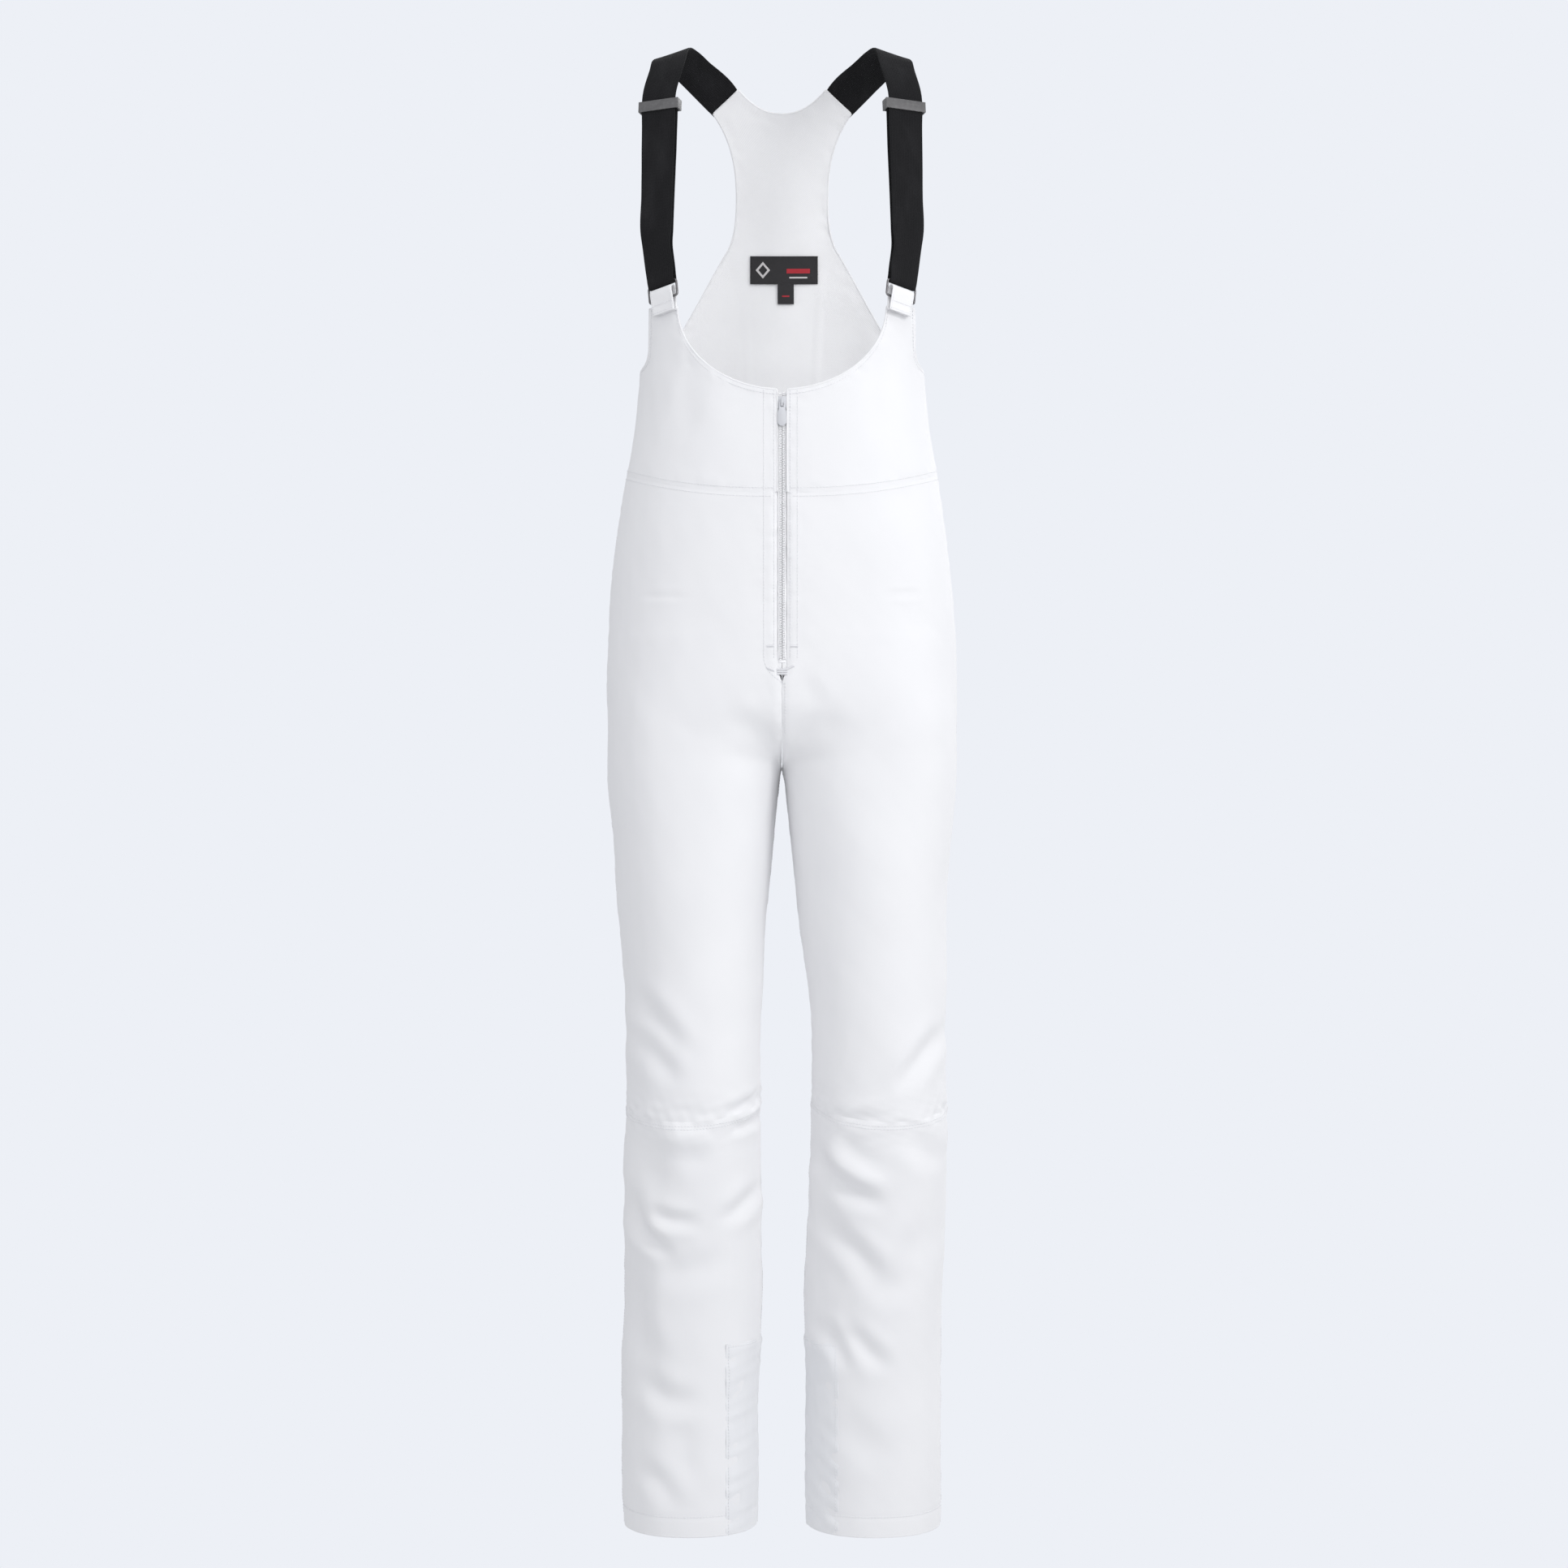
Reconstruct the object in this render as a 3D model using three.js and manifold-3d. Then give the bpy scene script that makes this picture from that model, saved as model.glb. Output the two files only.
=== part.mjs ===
// High-bib softshell ski pants, hanging by their shoulder straps.
// Millimetres, +Z up, -Y is the wearer's front, -X is the wearer's right-hand side.
// The origin is the shoulder line, midway between the two strap crests.

import * as THREE from "three";
import { mergeVertices } from "three/addons/utils/BufferGeometryUtils.js";
import Module from "manifold-3d";

const wasm = await Module();
wasm.setup();

// ---------------------------------------------------------------- driving sizes

const FABRIC = 2.6; // softshell with its lining
const GAP = 0.3; // between two pieces that are sewn or butted together
const SIDE_SEAM_Y = 2; // plane that parts the fronts from the backs

// Lengths, one below another, from the shoulder line down to the hem.
const STRAP_DROP = 284; // shoulder line to the top edge of the front bib
const BIB_HEIGHT = 168; // top edge of the front bib to the waist seam
const RISE = 292; // waist seam to crotch
const THIGH_LENGTH = 364; // crotch to knee seam
const KNEE_LENGTH = 170; // the stretch that folds when the knee bends
const CALF_LENGTH = 266; // below that stretch, to the hem

const SHOULDER_Z = -STRAP_DROP;
const WAIST_Z = SHOULDER_Z - BIB_HEIGHT;
const CROTCH_Z = WAIST_Z - RISE;
const KNEE_SEAM_Z = CROTCH_Z - THIGH_LENGTH;
const KNEE_END_Z = KNEE_SEAM_Z - KNEE_LENGTH;
const HEM_Z = KNEE_END_Z - CALF_LENGTH;

const ARMHOLE_DEPTH = 58; // lowest point of the armhole, below the top of the bib
const ARMHOLE_Z = SHOULDER_Z - ARMHOLE_DEPTH;
const SEAT_ABOVE_CROTCH = 146; // where the trousers begin to follow the thigh
const SEAT_Z = CROTCH_Z + SEAT_ABOVE_CROTCH;

// Front neckline: half an ellipse.
const SCOOP_DEPTH = 87;
const SCOOP_Z = SHOULDER_Z - SCOOP_DEPTH;
const SCOOP_HALF_WIDTH = 107;
const SCOOP_STEPS = 9;
const TAB_OUTER_X = 136; // outer edge of the bib at the tab
const TAB_EDGE_HEIGHT = 40; // of the upright stretch of that edge
const ARMHOLE_SIDE_X = 150;

// Racer back: half of its outline, as [x, z], from the middle of the neckline outward and down.
const NECK_Z = -55; // lowest point of the back neckline
const ARM_INNER = [47, -33]; // corners of the arm that the strap is sewn to
const ARM_OUTER = [74, -56];
const BACK_WAIST_X = 49; // half width where the racer back is narrowest
const BACK_WAIST_Z = -140;
const BLADE = [58, -196]; // where it begins to spread over the shoulder blade
const NECK_CURVE = [[18, NECK_Z], [32, -48]];
const ARM_CURVE = [[56, -78], [BACK_WAIST_X, -105]];
const BLADE_CURVE = [[BACK_WAIST_X, -160], [50, -178]];
const SIDE_CURVE = [[78, -226], [ARMHOLE_SIDE_X - 18, ARMHOLE_Z]];

// The front runs straight between two levels, so that the zip can slide.
const STRAIGHT_FRONT = 112; // depth of the front at the top of that stretch
const STRAIGHT_TOP_Z = SHOULDER_Z - 56;
const FRONT_SLOPE = 0.033; // how fast the front comes in below it
const straightFront = (z) => STRAIGHT_FRONT - FRONT_SLOPE * (STRAIGHT_TOP_Z - z);
const straightRow = (z, width, back, square) => [z, width, straightFront(z), back, square];

// Torso sections: level, half width, depth to the front, depth to the back, squareness.
const TORSO = [
  [-10, 118, 60, 30, 2.6],
  [-44, 123, 78, 59, 2.6],
  [-80, 130, 88, 75, 2.7],
  [-150, 140, 99, 89, 2.8],
  [SHOULDER_Z + 64, 149, 107, 93, 3.0],
  [SHOULDER_Z + 5, 152, 111, 92, 3.0],
  straightRow(STRAIGHT_TOP_Z, 146.5, 87.5, 2.8),
  straightRow(WAIST_Z + 52, 153, 81.5, 2.6),
  straightRow(WAIST_Z - 8, 164.5, 78, 2.5),
  straightRow(WAIST_Z - 68, 174, 84, 2.5),
  straightRow(CROTCH_Z + 144, 181, 102, 2.5),
  straightRow(CROTCH_Z + 64, 184, 119, 2.5),
  [CROTCH_Z + 28, 180, 91, 108, 2.4],
  [CROTCH_Z, 160, 62, 72, 2.2],
];

// Leg sections: level, centre x, half width, centre y, half depth, squareness.
const LEG = [
  [CROTCH_Z + 124, 92, 86, 6, 92, 2.4],
  [CROTCH_Z + 44, 92, 91.5, 9, 103, 2.5],
  [CROTCH_Z - 16, 92.5, 90.5, 7, 100, 2.4],
  [CROTCH_Z - 76, 93, 84.5, 3, 94, 2.3],
  [CROTCH_Z - 126, 94, 79.5, -1, 89, 2.2],
  [CROTCH_Z - 206, 93, 73.5, -5, 82, 2.1],
  [KNEE_SEAM_Z + 88, 92, 69.5, -9, 78, 2.1],
  [KNEE_SEAM_Z - 2, 92, 70, -10, 76, 2.1],
  [KNEE_SEAM_Z - 82, 92.5, 71, -5, 75, 2.1],
  [KNEE_END_Z - 12, 93.5, 71.5, 4, 75, 2.1],
  [HEM_Z + 150, 96, 71, 8, 73, 2.1],
  [HEM_Z + 48, 96, 71, 8, 72, 2.1],
  [HEM_Z, 96, 70, 8, 71, 2.1],
];

// The left leg stands a little further out at the knee than the right one.
const LEFT_SWAY = 9;
const SWAY_TOP_Z = CROTCH_Z - 126;
const SWAY_FULL_Z = KNEE_SEAM_Z + 88;
const SWAY_FADE_Z = KNEE_SEAM_Z - 22;
const SWAY_END_Z = HEM_Z + 150;

// The trousers follow the thigh beyond a slanted line, like a leg opening in underwear.
const HIP_SLANT = THREE.MathUtils.degToRad(39); // how far that line leans out of the level
const HIP_ZONE = 170; // measured square to it, from the crotch

// Shoulder straps.
const STRAP_WIDTH = 38;
const STRAP_THICK = 1.6;
const STRAP_STEP = 24; // longest facet along a strap
const STRAP_GATHER = 5; // the elastic is this much narrower where it goes round the ring
const STRAP_RING_WIDTH = STRAP_WIDTH - STRAP_GATHER;
const CREST = new THREE.Vector3(-112.6, 0, -7);
const CREST_RADIUS = 42;
const CREST_TILT = THREE.MathUtils.degToRad(18.8); // shoulder slope
// Over the shoulder: degrees round the crest, and distance from the middle plane.
const OVER_SHOULDER = [[-62, 119.5], [-40, 117], [-20, 115], [0, 112.6], [22, 104], [44, 92]];
const SETTLE_DEGREES = [-75, -30]; // between these the strap turns to the shoulder's slope
const STRAP_TOP = new THREE.Vector3(-125.5, -44.7, -58); // top of the straight stretch
const STRAP_LOW = new THREE.Vector3(-130, -75.2, SHOULDER_Z + 79); // and its lower end
const STRAP_FACING = THREE.MathUtils.degToRad(22); // how far the straight stretch faces outward
const BACK_END = new THREE.Vector3(-62.5, 53.5, -43.5);

// Rectangular wire ring between strap and tab.
const WIRE = 2.4;
const STRAP_CLEARANCE = 0.5; // between strap and the bar inside it
const LAYER_PITCH = WIRE + 2 * STRAP_CLEARANCE + STRAP_THICK; // of the doubled front strap
const RING_SIDE_CLEARANCE = 0.35;
const RING_WIDTH = STRAP_RING_WIDTH + 2 * (RING_SIDE_CLEARANCE + WIRE); // outside
const RING_HEIGHT = 19; // outside
const RING_TOP = new THREE.Vector3(-122, -87, SHOULDER_Z + 23.5); // middle of the top bar
const RING_FACING = THREE.MathUtils.degToRad(37);
const RING_LEAN = new THREE.Vector3(0.1, 0.2, 1); // upward along the left ring
const STITCHED_END = 7; // the strap's end stands this far above the ring's bar
const LOOP_STEPS = 6; // facets round that bar
const RING_RISE = [12, 30]; // the strap regains its width between these heights
const SPREAD_AT = 0.45; // and lies this share of the way to the straight stretch

// Fabric tab round the ring's lower bar.
const TAB_THICK = 1.5;
const TAB_WIDTH = STRAP_RING_WIDTH - 5;
const TAB_PLAY = 3.1; // room for the bar to rock, front to back
const TAB_DEPTH = WIRE + TAB_PLAY + 2 * TAB_THICK; // outside
const TAB_HEIGHT = 15; // outside
const TAB_SEAT = 0.6; // between the bar and the bottom of the loop

// Strap adjuster: a metal slide with a bar between the two layers.
const ADJUSTER_AT = 0.09; // share of the straight stretch, from its top
const ADJUSTER_HEIGHT = 11;
const ADJUSTER_RAIL = 1.6;
const ADJUSTER_PLATE = 1.2;
const ADJUSTER_BAR = 1.8;
const SLIDE_CLEARANCE = 0.8;
const EDGE_CLEARANCE = 1.4;

// Front zip. Depths are measured inward from the outside of the fabric, as [near, far].
const ZIP_ABOVE_CROTCH = 97; // lower end of the fly
const ZIP_TOP_Z = SCOOP_Z - 3;
const ZIP_BOTTOM_Z = CROTCH_Z + ZIP_ABOVE_CROTCH;
const COIL_INNER = 0.7;
const COIL_OUTER = 3.2;
const COIL_THICK = 2.2;
const TAPE_OUTER = 17;
const TAPE_THICK = 0.6;
const TAPE_SETBACK = 1; // the fabric curves away from the flat tape
const TAPE_NEAR = FABRIC + TAPE_SETBACK;
const TAPE_FAR = TAPE_NEAR + TAPE_THICK;
const COIL_PROUD = 0.1; // of the tape's inner face
const COIL_NEAR = TAPE_FAR + COIL_PROUD - COIL_THICK;
const STOP_HEIGHT = 3;
const SLIDER_LENGTH = 12;
const SLIDER_HALF_WIDTH = 4.6;
const SLIDER_BELOW_TOP = 4; // the closed slider stands this far below the zip's top
const SLIDER_PLATES = [1.4, 1.2]; // thickness in front and behind
const SLIDER_CLEARANCE = 0.5; // between the plates and what runs between them
const SLIDER_FRONT = [COIL_NEAR - SLIDER_CLEARANCE - SLIDER_PLATES[0], COIL_NEAR - SLIDER_CLEARANCE];
const SLIDER_BACK = [TAPE_FAR + SLIDER_CLEARANCE, TAPE_FAR + SLIDER_CLEARANCE + SLIDER_PLATES[1]];
const SLIDER_NECK = 0.7;
const ZIP_SLOT = SLIDER_HALF_WIDTH + 0.6; // half the width between the two fabric edges
const GUARD_WIDTH = 38;
const GUARD_THICK = 1.2;
const GUARD_NEAR = SLIDER_BACK[1] + 2.3;
const GUARD_BELOW_TOP = 2;
const ARCH_LENGTH = 8;
const ARCH_OPENING = [6, 2.2]; // along the zip, and out of it
const ARCH_WALL = 1;
const PULLER = { width: 6.5, length: 24, thick: 1.3, window: 2.8, windowLength: 4.6, grip: 9 };
const PULLER_FLARE = 0.45; // the grip is at its full width from this share of the length

// Labels inside the back.
const LABEL = { width: 75, height: 30, thick: 0.8, x: 2, z: -217 };
const SIZE_TAB = { width: 18, height: 23, thick: 0.8, x: 4 };
const LABEL_STANDOFF = 2.4; // room for the curve of the back behind a flat label

// Scuff guard at the inner hem, hem facing, and the boot gaiter with its elastic.
const SCUFF = { height: 198, depth: 124, thick: 1.0, reach: 64 };
const FACING = { height: 24, thick: 1.2 };
const GAITER = { lift: 38, height: 114, thick: 1.2, taper: 14 };
const ELASTIC = { height: 12, thick: 2.0 };

// Smoothness of the faceted model.
const TORSO_SIDES = 32;
const LEG_SIDES = 20;
const WIRE_SIDES = 6;
const CURVE_STEPS = 5;
const ROUND_STEPS = 8;

const REACH = 420; // larger than the garment across: for cutting boxes
const BOTTOM = HEM_Z - REACH;
const TOP = 100;
const HANDS = [[-1, "right"], [1, "left"]];

// ---------------------------------------------------------------- solids

function solidOf(geometry) {
  geometry.deleteAttribute("normal");
  geometry.deleteAttribute("uv");
  const merged = mergeVertices(geometry, 1e-4);
  return new wasm.Manifold(
    new wasm.Mesh({
      numProp: 3,
      vertProperties: new Float32Array(merged.attributes.position.array),
      triVerts: new Uint32Array(merged.index.array),
    }),
  );
}

function geometryOf(solid) {
  const mesh = solid.getMesh();
  const positions = new Float32Array(mesh.numVert * 3);
  for (let i = 0; i < mesh.numVert; i++) {
    const from = i * mesh.numProp;
    positions.set(mesh.vertProperties.subarray(from, from + 3), i * 3);
  }
  const geometry = new THREE.BufferGeometry();
  geometry.setAttribute("position", new THREE.BufferAttribute(positions, 3));
  geometry.setIndex(new THREE.BufferAttribute(mesh.triVerts, 1));
  geometry.computeVertexNormals();
  return geometry;
}

// A box between two corners.
function box(low, high) {
  const size = high.map((v, i) => v - low[i]);
  const geometry = new THREE.BoxGeometry(...size);
  geometry.translate(...low.map((v, i) => v + size[i] / 2));
  return solidOf(geometry);
}

const slab = (top, bottom) => box([-REACH, -REACH, bottom], [REACH, REACH, top]);

// Everything on one side of the body: side -1 is the wearer's right, +1 the left.
const half = (side, from = GAP / 2) =>
  side < 0
    ? box([-REACH, -REACH, BOTTOM], [-from, REACH, TOP])
    : box([from, -REACH, BOTTOM], [REACH, REACH, TOP]);

const frontHalf = () => box([-REACH, -REACH, BOTTOM], [REACH, SIDE_SEAM_Y - GAP / 2, TOP]);
const backHalf = () => box([-REACH, SIDE_SEAM_Y + GAP / 2, BOTTOM], [REACH, REACH, TOP]);

const unite = (solids) => solids.reduce((a, b) => a.add(b));

// A superellipse point: cos and sin of the turn, flattened by the squareness.
function corner(turn, squareness) {
  const flatten = (v) => Math.sign(v) * Math.abs(v) ** (2 / squareness);
  return [flatten(Math.cos(turn)), flatten(Math.sin(turn))];
}

// A solid through a list of levels. section(level, turn) gives a point of the outline.
function loft(levels, sides, section) {
  const geometry = new THREE.CylinderGeometry(1, 1, 1, sides, levels.length - 1);
  geometry.rotateX(Math.PI / 2);
  const at = geometry.attributes.position;
  for (let i = 0; i < at.count; i++) {
    const row = Math.round((0.5 - at.getZ(i)) * (levels.length - 1));
    const onRim = Math.hypot(at.getX(i), at.getY(i)) > 0.5;
    const turn = Math.atan2(at.getY(i), at.getX(i));
    const [x, y] = section(levels[row], turn, onRim ? 1 : 0);
    at.setXYZ(i, x, y, levels[row][0]);
  }
  return solidOf(geometry);
}

function torsoSolid(inset) {
  const levels = TORSO.map((level) => [...level]);
  if (inset) {
    levels[0][0] += FABRIC;
    levels.at(-1)[0] += FABRIC;
  }
  return loft(levels, TORSO_SIDES, ([, width, front, back, square], turn, rim) => {
    const [c, s] = corner(turn, square);
    const depth = s < 0 ? front : back;
    return [rim * c * (width - inset), rim * s * (depth - inset)];
  });
}

// Sideways lean of the left leg at a level.
function sway(side, z) {
  if (side < 0) return 0;
  const rise = THREE.MathUtils.smoothstep(-z, -SWAY_TOP_Z, -SWAY_FULL_Z);
  const fall = THREE.MathUtils.smoothstep(-z, -SWAY_FADE_Z, -SWAY_END_Z);
  return LEFT_SWAY * (rise - fall);
}

function legSection(side, level, turn, inset, rim = 1) {
  const [z, x, width, y, depth, square] = level;
  const [c, s] = corner(turn, square);
  return [side * x + sway(side, z) + rim * c * (width - inset), y + rim * s * (depth - inset)];
}

function legSolid(side, inset, levels = LEG) {
  const rows = levels.map((level) => [...level]);
  if (inset) rows.at(-1)[0] -= FABRIC;
  return loft(rows, LEG_SIDES, (level, turn, rim) => legSection(side, level, turn, inset, rim));
}

// A section at any level, between the listed ones.
function sectionAt(table, z) {
  const below = table.findIndex((level) => level[0] <= z);
  const [low, high] = [table[below], table[below - 1]];
  const share = (z - low[0]) / (high[0] - low[0]);
  return low.map((v, i) => v + (high[i] - v) * share);
}

// A sleeve inside or outside a leg between two levels, with its own wall.
function legSleeve(side, top, bottom, outerInset, innerInset) {
  const inner = LEG.map(([z]) => z).filter((z) => z < top - 5 && z > bottom + 5);
  const rows = [top, ...inner, bottom].map((z) => sectionAt(LEG, z));
  const longer = rows.map((level) => [...level]);
  longer[0][0] += 1;
  longer.at(-1)[0] -= 1;
  const skin = (levels, inset) =>
    loft(levels, LEG_SIDES, (l, turn, rim) => legSection(side, l, turn, inset(l[0]), rim));
  return skin(rows, outerInset).subtract(skin(longer, innerInset));
}

// The whole garment as one wall, before it is cut into panels.
function garmentWall() {
  const outside = unite([torsoSolid(0), legSolid(-1, 0), legSolid(1, 0)]);
  const inside = unite([torsoSolid(FABRIC), legSolid(-1, FABRIC), legSolid(1, FABRIC)]);
  return outside.subtract(inside);
}

// How far the outside of the centre front, and the inside of the back, lie from the origin plane.
const frontDepth = (z) => sectionAt(TORSO, z)[2];
const backInside = (z) => sectionAt(TORSO, z)[3] - FABRIC;

// ---------------------------------------------------------------- panels

// Extrudes an outline drawn in X and Z through the front or the back of the body.
function throughBody(shape, front) {
  const geometry = new THREE.ExtrudeGeometry(shape, {
    depth: REACH,
    bevelEnabled: false,
    curveSegments: CURVE_STEPS,
  });
  geometry.rotateX(Math.PI / 2);
  geometry.translate(0, front ? SIDE_SEAM_Y - GAP / 2 : REACH + SIDE_SEAM_Y + GAP / 2, 0);
  return solidOf(geometry);
}

function bibFrontOutline(side) {
  const shape = new THREE.Shape();
  shape.moveTo((side * GAP) / 2, WAIST_Z + GAP / 2);
  for (let i = 0; i <= SCOOP_STEPS; i++) {
    const turn = (i / SCOOP_STEPS) * (Math.PI / 2);
    const x = Math.max(SCOOP_HALF_WIDTH * Math.sin(turn), GAP / 2);
    shape.lineTo(side * x, SHOULDER_Z - SCOOP_DEPTH * Math.cos(turn));
  }
  shape.lineTo(side * TAB_OUTER_X, SHOULDER_Z);
  shape.lineTo(side * (TAB_OUTER_X + 1), SHOULDER_Z - TAB_EDGE_HEIGHT);
  shape.quadraticCurveTo(side * (TAB_OUTER_X + 2), ARMHOLE_Z, side * ARMHOLE_SIDE_X, ARMHOLE_Z);
  shape.lineTo(side * REACH, ARMHOLE_Z);
  shape.lineTo(side * REACH, WAIST_Z + GAP / 2);
  return shape;
}

// Half of the racer back's outline on one side, from the neckline down to the waist seam.
function racerHalf(side) {
  const path = new THREE.Path();
  const curve = ([[ax, az], [bx, bz]], [x, z]) =>
    path.bezierCurveTo(side * ax, az, side * bx, bz, side * x, z);
  path.moveTo(0, NECK_Z);
  curve(NECK_CURVE, ARM_INNER);
  path.lineTo(side * ARM_OUTER[0], ARM_OUTER[1]);
  curve(ARM_CURVE, [BACK_WAIST_X, BACK_WAIST_Z]);
  curve(BLADE_CURVE, BLADE);
  curve(SIDE_CURVE, [ARMHOLE_SIDE_X, ARMHOLE_Z]);
  path.lineTo(side * REACH, ARMHOLE_Z);
  path.lineTo(side * REACH, WAIST_Z + GAP / 2);
  return path.getPoints(CURVE_STEPS);
}

function racerBackOutline() {
  return new THREE.Shape([...racerHalf(-1).reverse(), ...racerHalf(1).slice(1)]);
}

// The half space beyond the slanted hip line of one side, from a distance onward.
function beyondHipLine(side, distance) {
  const geometry = new THREE.BoxGeometry(3 * REACH, 2 * REACH, 3 * REACH);
  geometry.translate(0, 0, -1.5 * REACH - distance);
  geometry.rotateY(-side * HIP_SLANT);
  geometry.translate(0, 0, CROTCH_Z);
  return solidOf(geometry);
}

// Slot between the two fabric edges, for the zip.
function zipSlot() {
  return box([-ZIP_SLOT, -REACH, ZIP_BOTTOM_Z - STOP_HEIGHT], [ZIP_SLOT, 0, 0]);
}

function bodyPanels(wall) {
  const panels = {};
  const slotted = wall.subtract(zipSlot());
  panels.bib_back = wall.intersect(throughBody(racerBackOutline(), false));
  for (const [side, hand] of HANDS) {
    const onSide = slotted.intersect(half(side));
    const bib = onSide.intersect(throughBody(bibFrontOutline(side), true));
    panels[`bib_front_${hand}`] = bib;
    for (const [face, part] of [["front", frontHalf()], ["back", backHalf()]]) {
      const panel = onSide.intersect(part);
      const waist = panel.intersect(slab(WAIST_Z - GAP / 2, SEAT_Z + GAP / 2));
      const hip = panel
        .intersect(slab(SEAT_Z - GAP / 2, KNEE_SEAM_Z))
        .subtract(beyondHipLine(side, HIP_ZONE - GAP / 2));
      const thigh = panel
        .intersect(slab(SEAT_Z, KNEE_SEAM_Z + GAP / 2))
        .intersect(beyondHipLine(side, HIP_ZONE + GAP / 2));
      const knee = panel.intersect(slab(KNEE_SEAM_Z - GAP / 2, KNEE_END_Z + GAP / 2));
      const shin = panel.intersect(slab(KNEE_END_Z - GAP / 2, BOTTOM));
      Object.assign(panels, {
        [`waist_${face}_${hand}`]: waist,
        [`hip_${face}_${hand}`]: hip,
        [`thigh_${face}_${hand}`]: thigh,
        [`knee_${face}_${hand}`]: knee,
        [`shin_${face}_${hand}`]: shin,
      });
    }
  }
  return panels;
}

// ---------------------------------------------------------------- hem pieces

function scuffGuard(side) {
  const top = HEM_Z + SCUFF.height;
  const bottom = HEM_Z + GAP;
  const [from, to] = [side * SCUFF.reach, -side * SCUFF.reach].sort((a, b) => a - b);
  const middle = LEG.at(-1)[3];
  const strip = box([from, middle - SCUFF.depth / 2, bottom], [to, middle + SCUFF.depth / 2, top]);
  const sleeve = legSleeve(side, top, bottom, () => -GAP - SCUFF.thick, () => -GAP);
  return sleeve.intersect(strip);
}

function hemPieces(side, hand) {
  const facing = FABRIC + GAP;
  const top = HEM_Z + GAITER.lift + GAITER.height;
  const bottom = HEM_Z + GAITER.lift;
  const gaiterInset = (z) => FABRIC + GAP + (GAITER.taper * (top - z)) / GAITER.height;
  const band = gaiterInset(bottom);
  return {
    [`scuff_guard_${hand}`]: scuffGuard(side),
    [`hem_facing_${hand}`]: legSleeve(
      side,
      HEM_Z + FACING.height,
      HEM_Z + GAP,
      () => facing,
      () => facing + FACING.thick,
    ),
    [`boot_gaiter_${hand}`]: legSleeve(
      side,
      top,
      bottom,
      gaiterInset,
      (z) => gaiterInset(z) + GAITER.thick,
    ),
    [`gaiter_elastic_${hand}`]: legSleeve(
      side,
      bottom - GAP,
      bottom - GAP - ELASTIC.height,
      () => band,
      () => band + ELASTIC.thick,
    ),
  };
}

// ---------------------------------------------------------------- straps

const mirrored = (v, side) => new THREE.Vector3(-side * v.x, v.y, v.z);
const squareTo = (v, along) => v.clone().addScaledVector(along, -v.dot(along)).normalize();

// Puts stations between distant ones, so that a twist is spread along the strip.
function closer(stations) {
  const dense = [stations[0]];
  for (let i = 1; i < stations.length; i++) {
    const [a, b] = [stations[i - 1], stations[i]];
    const pieces = Math.ceil(a.at.distanceTo(b.at) / STRAP_STEP);
    for (let k = 1; k <= pieces; k++) {
      const share = k / pieces;
      dense.push({
        at: a.at.clone().lerp(b.at, share),
        across: a.across.clone().lerp(b.across, share).normalize(),
        width: a.width + (b.width - a.width) * share,
      });
    }
  }
  return dense;
}

// A flat strip along a list of stations: { at, across, width }.
function ribbon(wanted, thick) {
  const stations = closer(wanted);
  const geometry = new THREE.BoxGeometry(1, 1, 1, 2, 1, stations.length - 1);
  const at = geometry.attributes.position;
  const tangents = stations.map((_, i) => {
    const before = stations[Math.max(i - 1, 0)].at;
    const after = stations[Math.min(i + 1, stations.length - 1)].at;
    return after.clone().sub(before).normalize();
  });
  for (let i = 0; i < at.count; i++) {
    const row = Math.round((at.getZ(i) + 0.5) * (stations.length - 1));
    const { at: middle, across, width } = stations[row];
    const side = squareTo(across, tangents[row]);
    const out = tangents[row].clone().cross(side);
    const point = middle.clone();
    point.addScaledVector(side, at.getX(i) * width);
    point.addScaledVector(out, at.getY(i) * thick);
    at.setXYZ(i, point.x, point.y, point.z);
  }
  return solidOf(geometry);
}

// The frame of a point on the front strap: across it, along it upward, and out of it.
function strapFrame(facing, along, side) {
  const across = new THREE.Vector3(Math.cos(facing), side * Math.sin(facing), 0);
  const up = along.clone().normalize();
  const sideways = squareTo(across, up);
  return { across: sideways, up, out: sideways.clone().cross(up).negate() };
}

function strapGeometry(side) {
  const top = mirrored(STRAP_TOP, side);
  const low = mirrored(STRAP_LOW, side);
  const ring = mirrored(RING_TOP, side);
  const straight = strapFrame(STRAP_FACING, top.clone().sub(low), side);
  const ringUp = new THREE.Vector3(side * RING_LEAN.x, RING_LEAN.y, RING_LEAN.z);
  const atRing = strapFrame(RING_FACING, ringUp, side);
  return { top, low, ring, straight, atRing };
}

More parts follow.
